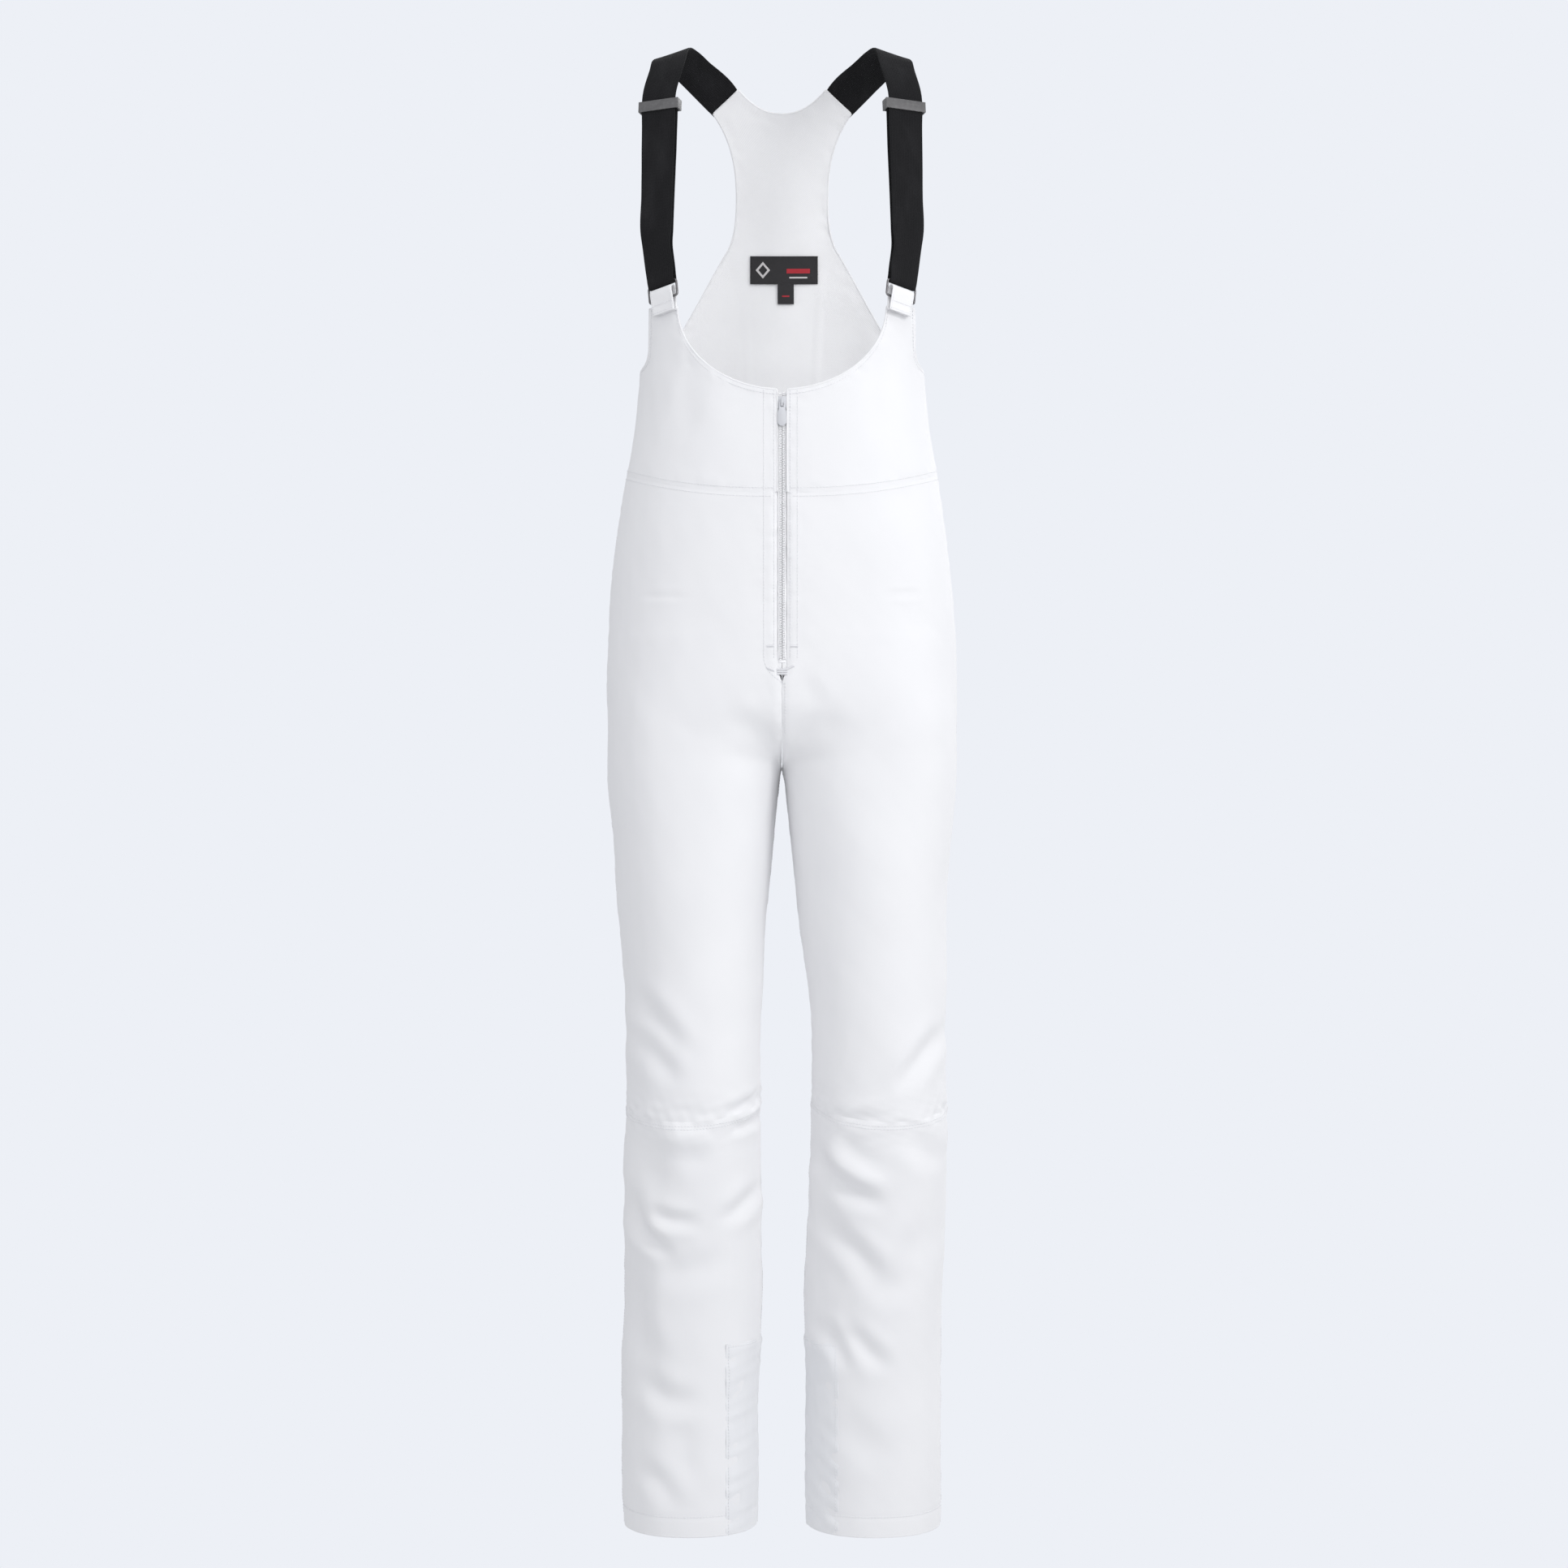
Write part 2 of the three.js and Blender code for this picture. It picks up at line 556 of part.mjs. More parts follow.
// The outer layer: round the ring's bar, up the front, over the shoulder, to the back.
function strapStations(side) {
  const { top, low, ring, straight, atRing } = strapGeometry(side);
  const stations = [];
  const station = (at, across, width) => stations.push({ at, across, width });
  const bend = LAYER_PITCH / 2;
  const offRing = (out, up) =>
    ring.clone().addScaledVector(atRing.out, out).addScaledVector(atRing.up, up);
  station(offRing(bend, STITCHED_END), atRing.across, STRAP_RING_WIDTH);
  for (let i = 0; i <= LOOP_STEPS; i++) {
    const turn = (i / LOOP_STEPS) * Math.PI;
    station(
      offRing(bend * Math.cos(turn), -bend * Math.sin(turn)),
      atRing.across,
      STRAP_RING_WIDTH,
    );
  }
  station(offRing(-bend, RING_RISE[0]), atRing.across, STRAP_RING_WIDTH + 2);
  const lowOut = low.clone().addScaledVector(straight.out, -bend);
  const topOut = top.clone().addScaledVector(straight.out, -bend);
  const between = offRing(-bend, RING_RISE[1]).lerp(lowOut, SPREAD_AT);
  const turned = atRing.across.clone().add(straight.across).normalize();
  station(between, turned, STRAP_WIDTH);
  station(lowOut, straight.across, STRAP_WIDTH);
  station(topOut, straight.across, STRAP_WIDTH);
  const slope = new THREE.Vector3(Math.cos(CREST_TILT), 0, -side * Math.sin(CREST_TILT));
  const crest = mirrored(CREST, side);
  for (const [degrees, x] of OVER_SHOULDER) {
    const turn = THREE.MathUtils.degToRad(degrees);
    const y = CREST_RADIUS * Math.sin(turn);
    const z = crest.z - CREST_RADIUS * (1 - Math.cos(turn));
    const settle = THREE.MathUtils.smoothstep(degrees, ...SETTLE_DEGREES);
    const across = straight.across.clone().lerp(slope, settle).normalize();
    station(new THREE.Vector3(side * x, y, z), across, STRAP_WIDTH);
  }
  station(mirrored(BACK_END, side), slope, STRAP_WIDTH);
  return stations;
}

// The returning layer, between the ring and the adjuster.
function returnStations(side) {
  const { top, low, ring, straight, atRing } = strapGeometry(side);
  const bend = LAYER_PITCH / 2;
  const start = ring
    .clone()
    .addScaledVector(atRing.out, bend)
    .addScaledVector(atRing.up, STITCHED_END + GAP);
  const lowIn = low.clone().addScaledVector(straight.out, bend);
  const end = low.clone().lerp(top, 1 - ADJUSTER_AT).addScaledVector(straight.out, bend);
  end.addScaledVector(straight.up, -ADJUSTER_HEIGHT / 2 - GAP);
  const turned = atRing.across.clone().add(straight.across).normalize();
  const rise = RING_RISE[1] - STITCHED_END - 1;
  const between = start.clone().addScaledVector(atRing.up, rise).lerp(lowIn, SPREAD_AT);
  const level = start.clone().addScaledVector(atRing.up, 4);
  return [
    { at: start, across: atRing.across, width: STRAP_RING_WIDTH },
    { at: level, across: atRing.across, width: STRAP_RING_WIDTH },
    { at: between, across: turned, width: STRAP_WIDTH },
    { at: lowIn, across: straight.across, width: STRAP_WIDTH },
    { at: end, across: straight.across, width: STRAP_WIDTH },
  ];
}

// Places a mesh built round its own origin, with X across, Y inward and Z up a frame.
function standIn(mesh, frame, at) {
  const basis = new THREE.Matrix4().makeBasis(frame.across, frame.out, frame.up);
  mesh.quaternion.setFromRotationMatrix(basis);
  mesh.position.copy(at);
  return mesh;
}

function rod(radius, length, axis) {
  const geometry = new THREE.CylinderGeometry(radius, radius, length, WIRE_SIDES);
  if (axis === "x") geometry.rotateZ(Math.PI / 2);
  if (axis === "z") geometry.rotateX(Math.PI / 2);
  return geometry;
}

// A rectangular wire ring, its top bar through the local origin.
function ringSolid() {
  const halfWidth = (RING_WIDTH - WIRE) / 2;
  const drop = RING_HEIGHT - WIRE;
  const parts = [];
  for (const z of [0, -drop]) {
    parts.push(solidOf(rod(WIRE / 2, 2 * halfWidth, "x").translate(0, 0, z)));
    for (const x of [-halfWidth, halfWidth]) {
      const knuckle = new THREE.SphereGeometry(WIRE / 2, WIRE_SIDES, 4);
      parts.push(solidOf(knuckle.translate(x, 0, z)));
    }
  }
  for (const x of [-halfWidth, halfWidth]) {
    parts.push(solidOf(rod(WIRE / 2, drop, "z").translate(x, 0, -drop / 2)));
  }
  return unite(parts);
}

// The tab's loop: a flattened tube across the garment, with the ring's lower bar inside.
function tabSolid() {
  const roundedBox = (depth, height, reach, lift) => {
    const shape = new THREE.Shape();
    const r = Math.min(depth, height) / 2 - 0.01;
    shape.moveTo(-depth / 2, 0);
    shape.lineTo(depth / 2, 0);
    shape.lineTo(depth / 2, height - r);
    shape.absarc(0, height - r, r, 0, Math.PI, false);
    shape.lineTo(-depth / 2, 0);
    const geometry = new THREE.ExtrudeGeometry(shape, {
      depth: reach,
      bevelEnabled: false,
      curveSegments: ROUND_STEPS,
    });
    geometry.translate(0, 0, -reach / 2);
    geometry.rotateX(Math.PI / 2);
    geometry.rotateZ(Math.PI / 2);
    geometry.translate(0, 0, lift);
    return solidOf(geometry);
  };
  const wall = 2 * TAB_THICK;
  const outside = roundedBox(TAB_DEPTH, TAB_HEIGHT, TAB_WIDTH, 0);
  const inside = roundedBox(TAB_DEPTH - wall, TAB_HEIGHT - wall, 3 * TAB_WIDTH, TAB_THICK);
  return outside.subtract(inside);
}

// The adjuster: front plate, back plate, two rails, and the bar between the layers.
function adjusterSolid() {
  const inner = STRAP_WIDTH / 2 + EDGE_CLEARANCE;
  const outer = inner + ADJUSTER_RAIL;
  const near = LAYER_PITCH / 2 + STRAP_THICK / 2 + SLIDE_CLEARANCE;
  const far = near + ADJUSTER_PLATE;
  const tall = ADJUSTER_HEIGHT / 2;
  return unite([
    box([-outer, -far, -tall], [outer, -near, tall]),
    box([-outer, near, -tall], [outer, far, tall]),
    box([-outer, -far, -tall], [-inner, far, tall]),
    box([inner, -far, -tall], [outer, far, tall]),
    box([-outer, -ADJUSTER_BAR / 2, -tall / 3], [outer, ADJUSTER_BAR / 2, tall / 3]),
  ]);
}

// ---------------------------------------------------------------- zip

// A strip that follows the straight front, between two levels and two depths.
function zipStrip(xLow, xHigh, zTop, zBottom, [near, far]) {
  const geometry = new THREE.BoxGeometry(1, 1, 1);
  const at = geometry.attributes.position;
  for (let i = 0; i < at.count; i++) {
    const z = at.getZ(i) > 0 ? zTop : zBottom;
    const depth = at.getY(i) < 0 ? near : far;
    at.setXYZ(i, at.getX(i) < 0 ? xLow : xHigh, -frontDepth(z) + depth, z);
  }
  return solidOf(geometry);
}

// Along the zip downward, out of the garment, and how far a level lies down the zip.
const ZIP_DOWN = new THREE.Vector3(
  0,
  frontDepth(ZIP_TOP_Z) - frontDepth(ZIP_BOTTOM_Z),
  ZIP_BOTTOM_Z - ZIP_TOP_Z,
).normalize();

function sliderSolid() {
  const length = SLIDER_LENGTH / 2;
  const plate = ([near, far]) =>
    box([-SLIDER_HALF_WIDTH, near, -length], [SLIDER_HALF_WIDTH, far, length]);
  const neck = SLIDER_NECK / 2;
  const [open, rise] = ARCH_OPENING;
  const archTop = SLIDER_FRONT[0] - rise - ARCH_WALL;
  const arch = box([-1, archTop, -ARCH_LENGTH / 2], [1, SLIDER_FRONT[0] + 0.2, ARCH_LENGTH / 2]);
  const hole = box([-2, SLIDER_FRONT[0] - rise, -open / 2], [2, SLIDER_FRONT[0], open / 2]);
  return unite([
    plate(SLIDER_FRONT),
    plate(SLIDER_BACK),
    box([-neck, SLIDER_FRONT[1] - 0.5, -length + 0.5], [neck, SLIDER_BACK[0] + 0.5, length - 0.5]),
    arch.subtract(hole),
  ]);
}

// The puller hangs from its crossbar, which is the hinge axis and the local origin.
function pullerSolid() {
  const { width, length, thick, window, windowLength, grip } = PULLER;
  const shape = new THREE.Shape();
  shape.moveTo(-width / 2, thick / 2);
  shape.lineTo(-width / 2, -windowLength - thick);
  shape.lineTo(-grip / 2, -length * PULLER_FLARE);
  shape.lineTo(-grip / 2, -length + grip / 2);
  shape.absarc(0, -length + grip / 2, grip / 2, Math.PI, 2 * Math.PI, false);
  shape.lineTo(grip / 2, -length * PULLER_FLARE);
  shape.lineTo(width / 2, -windowLength - thick);
  shape.lineTo(width / 2, thick / 2);
  const geometry = new THREE.ExtrudeGeometry(shape, {
    depth: thick,
    bevelEnabled: false,
    curveSegments: ROUND_STEPS,
  });
  geometry.translate(0, 0, -thick / 2);
  geometry.rotateX(Math.PI / 2);
  const eye = box([-window / 2, -thick, -windowLength], [window / 2, thick, -thick / 2]);
  return solidOf(geometry).subtract(eye);
}

// ---------------------------------------------------------------- materials and assembly

const MATERIALS = {
  softshell: new THREE.MeshStandardMaterial({ color: 0xf0f1f4, roughness: 0.85 }),
  lining: new THREE.MeshStandardMaterial({ color: 0xe6e7ea, roughness: 0.9 }),
  elastic: new THREE.MeshStandardMaterial({ color: 0x232325, roughness: 0.9 }),
  steel: new THREE.MeshStandardMaterial({ color: 0x6e6c70, roughness: 0.45, metalness: 0.8 }),
  zip: new THREE.MeshStandardMaterial({ color: 0xe4e5e8, roughness: 0.5 }),
  label: new THREE.MeshStandardMaterial({ color: 0x161416, roughness: 0.7 }),
};

const group = new THREE.Group();

function add(name, solid, material, parent = group) {
  const mesh = new THREE.Mesh(geometryOf(solid), MATERIALS[material]);
  mesh.name = name;
  parent.add(mesh);
  return mesh;
}

function addPanels() {
  const panels = bodyPanels(garmentWall());
  for (const [name, solid] of Object.entries(panels)) add(name, solid, "softshell");
}

function addHems() {
  for (const [side, hand] of HANDS) {
    for (const [name, solid] of Object.entries(hemPieces(side, hand))) {
      const material = name.startsWith("gaiter_elastic") ? "elastic" : "lining";
      add(name, solid, name.startsWith("scuff") ? "softshell" : material);
    }
  }
}

function addStraps() {
  for (const [side, hand] of HANDS) {
    const { top, low, ring, straight, atRing } = strapGeometry(side);
    add(`shoulder_strap_${hand}`, ribbon(strapStations(side), STRAP_THICK), "elastic");
    add(`strap_return_${hand}`, ribbon(returnStations(side), STRAP_THICK), "elastic");
    standIn(add(`strap_ring_${hand}`, ringSolid(), "steel"), atRing, ring);
    const adjusterAt = top.clone().lerp(low, ADJUSTER_AT);
    standIn(add(`strap_adjuster_${hand}`, adjusterSolid(), "steel"), straight, adjusterAt);
    const tabBase = ring.clone();
    tabBase.addScaledVector(atRing.up, WIRE / 2 - RING_HEIGHT - TAB_THICK - TAB_SEAT);
    standIn(add(`strap_tab_${hand}`, tabSolid(), "softshell"), atRing, tabBase);
  }
}

// A zip strip at one side of the middle, from an inner to an outer distance.
function sideStrip(side, inner, outer, bottom, depths) {
  const [low, high] = [side * inner, side * outer].sort((a, b) => a - b);
  return zipStrip(low, high, ZIP_TOP_Z, bottom, depths);
}

function addZip() {
  const coilDepth = [COIL_NEAR, COIL_NEAR + COIL_THICK];
  const coilBottom = ZIP_BOTTOM_Z + STOP_HEIGHT;
  for (const [side, hand] of HANDS) {
    const tapeDepth = [TAPE_NEAR, TAPE_FAR];
    const tape = sideStrip(side, COIL_OUTER + GAP, TAPE_OUTER, ZIP_BOTTOM_Z, tapeDepth);
    add(`zip_tape_${hand}`, tape, "zip");
    const coil = sideStrip(side, COIL_INNER, COIL_OUTER, coilBottom, coilDepth);
    add(`zip_coil_${hand}`, coil, "zip");
  }
  const stop = zipStrip(-COIL_OUTER, COIL_OUTER, coilBottom - GAP, ZIP_BOTTOM_Z, coilDepth);
  add("zip_stop", stop, "zip");
  const guardTop = ZIP_TOP_Z - GUARD_BELOW_TOP;
  const guardDepth = [GUARD_NEAR, GUARD_NEAR + GUARD_THICK];
  const guard = zipStrip(-GUARD_WIDTH / 2, GUARD_WIDTH / 2, guardTop, ZIP_BOTTOM_Z, guardDepth);
  add("zip_guard", guard, "lining");
  const carriage = new THREE.Group();
  const middle = ZIP_TOP_Z - SLIDER_BELOW_TOP - SLIDER_LENGTH / 2;
  carriage.position.set(0, -frontDepth(middle), middle);
  carriage.rotation.x = Math.atan2(ZIP_DOWN.y, -ZIP_DOWN.z);
  group.add(carriage);
  add("zip_slider", sliderSolid(), "zip", carriage);
  const puller = add("zip_puller", pullerSolid(), "zip", carriage);
  puller.position.y = SLIDER_FRONT[0] - ARCH_OPENING[1] / 2;
}

// A flat label against the inside of the back, at a level.
function labelPlate(x, z, { width, height, thick }) {
  const y = backInside(z) - LABEL_STANDOFF;
  return box([x - width / 2, y - thick, z - height / 2], [x + width / 2, y, z + height / 2]);
}

function addLabels() {
  add("neck_label", labelPlate(LABEL.x, LABEL.z, LABEL), "label");
  const tabZ = LABEL.z - LABEL.height / 2 - SIZE_TAB.height / 2 - GAP;
  add("size_label", labelPlate(SIZE_TAB.x, tabZ, SIZE_TAB), "label");
}

addPanels();
addHems();
addStraps();
addZip();
addLabels();

export default group;
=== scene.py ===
import logging
import math
from dataclasses import dataclass, field
from enum import Enum
from functools import cached_property
from typing import Callable, Sequence

import bmesh
import bpy
import numpy as np
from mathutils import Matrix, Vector
from mathutils.bvhtree import BVHTree
from mathutils.geometry import delaunay_2d_cdt


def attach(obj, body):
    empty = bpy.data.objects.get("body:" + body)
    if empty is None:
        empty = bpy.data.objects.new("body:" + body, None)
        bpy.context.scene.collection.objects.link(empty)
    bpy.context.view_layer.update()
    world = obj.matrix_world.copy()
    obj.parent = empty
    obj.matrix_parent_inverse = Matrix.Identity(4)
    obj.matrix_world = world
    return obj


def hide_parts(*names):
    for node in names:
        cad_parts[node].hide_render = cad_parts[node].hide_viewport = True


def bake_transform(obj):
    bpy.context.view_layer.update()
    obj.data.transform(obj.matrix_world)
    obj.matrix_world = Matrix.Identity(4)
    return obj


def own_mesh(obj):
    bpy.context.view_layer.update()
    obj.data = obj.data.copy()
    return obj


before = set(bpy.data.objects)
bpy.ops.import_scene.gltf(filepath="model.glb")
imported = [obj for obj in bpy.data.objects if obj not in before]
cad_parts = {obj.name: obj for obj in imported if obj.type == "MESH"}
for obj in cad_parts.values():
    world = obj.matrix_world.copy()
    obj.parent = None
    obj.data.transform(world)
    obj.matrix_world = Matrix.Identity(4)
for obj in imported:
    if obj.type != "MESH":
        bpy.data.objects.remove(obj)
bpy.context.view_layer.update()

# High-bib softshell ski pants, hanging by their shoulder straps.
# Shapes are worked out in millimetres, and become metres when a mesh is made.
# +Z is up, -Y is the wearer's front, -X is the wearer's right-hand side.

MM = 0.001
LOG = logging.getLogger("ski_pants")

SHOULDER_Z = -284.0  # top edge of the front bib
ARMHOLE_Z = -342.0
WAIST_Z = -452.0
SEAT_Z = -600.0
CROTCH_Z = -744.0
KNEE_SEAM_Z = -1108.0
KNEE_END_Z = -1278.0
HEM_Z = -1544.0
SIDE_SEAM_Y = 2.0
TURN_UP = 24.0  # height of the hem facing
ZIP_SLOT = 5.2  # half the width between the two fabric edges
ZIP_TOP_Z = -374.0
ZIP_BOTTOM_Z = -647.0
SCOOP_DEPTH = 87.0
SCOOP_HALF_WIDTH = 107.0
TAB_OUTER_X = 136.0
PAST_SIDE_X = 400.0  # beyond the side seam at every level
CLOTH = 1.5  # thickness of softshell with its lining
INWARD = np.array([0.0, 1.0, 0.0])  # from the straight front into the garment
WAIST_LAP = np.array([0, 0.7])  # how far the bib laps over the waist seam
LINE_STEP = 3.0  # distance between the points of the bib's outline
MIRROR = np.array([-1.0, 1.0])  # turns unrolled cloth of the left side into the right side's

Array = np.ndarray
Material = bpy.types.Material
Piece = bpy.types.Object
Triple = tuple[float, float, float]  # a place, a direction or a linear colour


class Hand(Enum):
    """The wearer's two sides, with the sign of their X."""

    RIGHT = -1
    LEFT = 1

    @property
    def word(self) -> str:
        """The word that ends a piece's name."""
        return self.name.lower()


class Face(Enum):
    """The two faces of the garment, with the sign of their Y."""

    FRONT = -1
    BACK = 1

    @property
    def word(self) -> str:
        """The word that stands in a piece's name."""
        return self.name.lower()


class Held(Enum):
    """How a sheet of cloth is held."""

    HUNG = "hung"
    GATHERED = "gathered"
    STRETCHED = "stretched"
    FOLDED = "folded"


# --- numbers


def smoothstep(value: Array, low: float, high: float) -> Array:
    """Rises smoothly from 0 at low to 1 at high."""
    share = np.clip((value - low) / (high - low), 0, 1)
    return share * share * (3 - 2 * share)


def hump(value: Array, width: float) -> Array:
    """1 at 0, falling smoothly away on both sides."""
    return np.exp(-((value / width) ** 2))


def spans(points: Array, axis: int) -> Array:
    """Distances between neighbouring places along an axis."""
    return np.linalg.norm(np.diff(points, axis=axis), axis=-1)


def smooth_min(a: Array, b: Array, width: Array) -> Array:
    """The smaller of two distances, rounded where they are within width of each other."""
    near = np.maximum(width - np.abs(a - b), 0) / width
    return np.minimum(a, b) - near * near * width / 4


def unit(vectors: Array) -> Array:
    """Vectors scaled to length 1."""
    length = np.linalg.norm(vectors, axis=-1, keepdims=True)
    return vectors / np.maximum(length, 1e-9)


def distances_along(points: Array) -> Array:
    """Distance of each point of a line from its start."""
    gaps = spans(points[:, :3], 0)
    return np.concatenate([[0.0], np.cumsum(gaps)])


def spaced(points: Array, step: float) -> Array:
    """A line's points, moved so that they stand a step apart.

    Args:
        points: rows of coordinates along the line.
        step: wanted distance between neighbours.

    Returns:
        Rows of coordinates, with the first and the last kept.
    """
    gaps = spans(points, 0)
    along = np.concatenate([[0.0], np.cumsum(gaps)])
    count = max(2, int(round(along[-1] / step)) + 1)
    wanted = np.linspace(0, along[-1], count)
    return np.stack([np.interp(wanted, along, column) for column in points.T], 1)


def smooth_path(knots: Array, step: float, least: int = 2) -> Array:
    """Runs a smooth curve through knots.

    Args:
        knots: one row a knot; the first three values are its place, others may follow.
        step: longest distance between two neighbours.
        least: fewest pieces between two knots.

    Returns:
        Rows like the knots, closer together.
    """
    along = distances_along(knots)
    slope = np.gradient(knots, along, axis=0)
    rows = [knots[:1]]
    for i, gap in enumerate(np.diff(along)):
        pieces = max(least, math.ceil(gap / step))
        t = (np.arange(1, pieces + 1) / pieces)[:, None]
        start, end = knots[i], knots[i + 1]
        rows.append(
            (2 * t**3 - 3 * t**2 + 1) * start
            + (t**3 - 2 * t**2 + t) * gap * slope[i]
            + (3 * t**2 - 2 * t**3) * end
            + (t**3 - t**2) * gap * slope[i + 1]
        )
    return np.concatenate(rows)


def refined(grid: Array) -> Array:
    """A grid with a point put between every two, on a smooth curve through their neighbours."""
    for axis in (0, 1):
        lines = np.moveaxis(grid, axis, 0)
        first = 2 * lines[:1] - lines[1:2]
        last = 2 * lines[-1:] - lines[-2:-1]
        wide = np.concatenate([first, lines, last])
        middle = (9 * (wide[1:-2] + wide[2:-1]) - wide[:-3] - wide[3:]) / 16
        out = np.empty((2 * len(lines) - 1, *lines.shape[1:]))
        out[::2] = lines
        out[1::2] = middle
        grid = np.moveaxis(out, 0, axis)
    return grid


def sampled(grid: Array, row: Array, column: Array) -> Array:
    """Points of a grid between its rows and columns; a lone row or column serves every place."""
    row, column = np.broadcast_arrays(np.asarray(row, float), np.asarray(column, float))
    row = np.clip(row, 0, grid.shape[0] - 1.001)
    column = np.clip(column, 0, grid.shape[1] - 1.001)
    r, c = row.astype(int), column.astype(int)
    a, b = (row - r)[:, None], (column - c)[:, None]
    top = grid[r, c] * (1 - b) + grid[r, c + 1] * b
    low = grid[r + 1, c] * (1 - b) + grid[r + 1, c + 1] * b
    return top * (1 - a) + low * a


def grid_normals(grid: Array, centre: Array) -> Array:
    """Directions square to a grid, away from a line of centres.

    Args:
        grid: rows of columns of points.
        centre: one point a row, inside the garment.

    Returns:
        One unit vector a point.
    """
    across = np.gradient(grid, axis=1)
    down = np.gradient(grid, axis=0)
    normal = unit(np.cross(across, down))
    outward = np.sum(normal * (grid - centre[:, None, :]), axis=-1).mean()
    return normal if outward > 0 else -normal


@dataclass(frozen=True)
class Ripple:
    """Gentle unevenness of cloth: a sum of waves with a fixed seed."""

    height: float  # how far the cloth rises and falls
    length: float  # shortest wave
    seed: int  # picks the waves
    stretch: float = 1.6  # how much longer the waves are upward than across

    def at(self, points: Array) -> Array:
        """Height at each point."""
        rng = np.random.default_rng(self.seed)
        total = np.zeros(points.shape[:-1])
        waves = 9
        for _ in range(waves):
            wave = 2 * math.pi / (self.length * rng.uniform(1.0, 3.2))
            heading = rng.normal(size=3)
            heading /= np.linalg.norm(heading)
            heading[2] /= self.stretch
            total += np.sin(points @ (heading * wave) + rng.uniform(0, 6.28))
        return self.height * total / math.sqrt(waves)


@dataclass(frozen=True)
class Crease:
    """One fold in the cloth, drawn as a line of (x, z) places."""

    line: tuple[tuple[float, float], ...]  # places along it
    width: float  # half width of the fold
    height: float  # of its middle, below zero for a valley

    def lift(self, x: Array, z: Array) -> Array:
        """How far the fold moves the cloth outward at each place."""
        knots = np.array([(a, 0.0, b) for a, b in self.line])
        knots[0] += 0.35 * (knots[0] - knots[1])
        knots[-1] += 0.35 * (knots[-1] - knots[-2])
        path = smooth_path(knots, 6.0)[:, [0, 2]] if len(knots) > 2 else knots[:, [0, 2]]
        total = distances_along(np.insert(path, 2, 0, axis=1))
        nearest = np.full(x.shape, 1e9)
        place = np.zeros(x.shape)
        for i in range(len(path) - 1):
            (ax, az), (bx, bz) = path[i], path[i + 1]
            dx, dz = bx - ax, bz - az
            t = np.clip(((x - ax) * dx + (z - az) * dz) / (dx * dx + dz * dz), 0, 1)
            gap = np.hypot(x - ax - t * dx, z - az - t * dz)
            closer = gap < nearest
            nearest = np.where(closer, gap, nearest)
            place = np.where(closer, total[i] + t * (total[i + 1] - total[i]), place)
        share = place / total[-1]
        fade = smoothstep(np.minimum(share, 1 - share), 0.0, 0.4)
        across = nearest / (1.2 * self.width)
        middle = np.exp(-(across**2))
        banks = np.exp(-((across - 1.8) ** 2))
        return self.height * fade * (middle - 0.45 * banks)


# --- meshes


@dataclass
class Shape:
    """Points and faces of a piece, in millimetres."""

    points: Array  # one row a point
    faces: list[tuple[int, ...]]  # corner numbers of each face, counter-clockwise from outside
    cloth: Array | None = None  # the cloth's own two coordinates of each point, in millimetres

    def build(self, name: str, *materials: Material) -> Piece:
        """Makes the mesh object.

        Args:
            name: name of the piece.
            materials: its finishes, one a slot.

        Returns:
            The new object, at the origin, in metres.
        """
        mesh = bpy.data.meshes.new(name)
        mesh.from_pydata((self.points * MM).tolist(), [], self.faces)
        mesh.polygons.foreach_set("use_smooth", [True] * len(mesh.polygons))
        if self.cloth is not None:
            layer = mesh.uv_layers.new(name="Cloth")
            corner = np.empty(len(mesh.loops), np.int32)
            mesh.loops.foreach_get("vertex_index", corner)
            layer.data.foreach_set("uv", (self.cloth[corner] * MM).ravel().astype(np.float32))
        for material in materials:
            mesh.materials.append(material)
        mesh.validate()
        mesh.update()
        piece = bpy.data.objects.new(name, mesh)
        bpy.context.scene.collection.objects.link(piece)
        return piece


def grid_shape(grid: Array, normals: Array | None = None, around: bool = False) -> Shape:
    """A sheet through a grid of points.

    Args:
        grid: rows of columns of points.
        normals: outward directions; the faces are turned to agree with them.
        around: whether the last column joins the first.

    Returns:
        The sheet, with its cloth coordinates measured along rows and columns.
    """
    rows, columns = grid.shape[:2]
    across = spans(grid, 1)
    down = spans(grid, 0).mean(1)
    u = np.concatenate([np.zeros((rows, 1)), np.cumsum(across, 1)], 1)
    v = np.broadcast_to(np.concatenate([[0.0], np.cumsum(down)])[:, None], u.shape)
    cloth = np.stack([u, v], -1).reshape(-1, 2)
    number = np.arange(rows * columns).reshape(rows, columns)
    if around:
        number = np.concatenate([number, number[:, :1]], 1)
    a, b = number[:-1, :-1], number[:-1, 1:]
    c, d = number[1:, 1:], number[1:, :-1]
    flip = False
    if normals is not None:
        made = np.cross(grid[:-1, 1:] - grid[:-1, :-1], grid[1:, :-1] - grid[:-1, :-1])
        flip = np.sum(made * normals[:-1, :-1]) < 0
    order = (a, d, c, b) if flip else (a, b, c, d)
    faces = np.stack([o.ravel() for o in order], 1).tolist()
    return Shape(grid.reshape(-1, 3).copy(), [tuple(f) for f in faces], cloth)


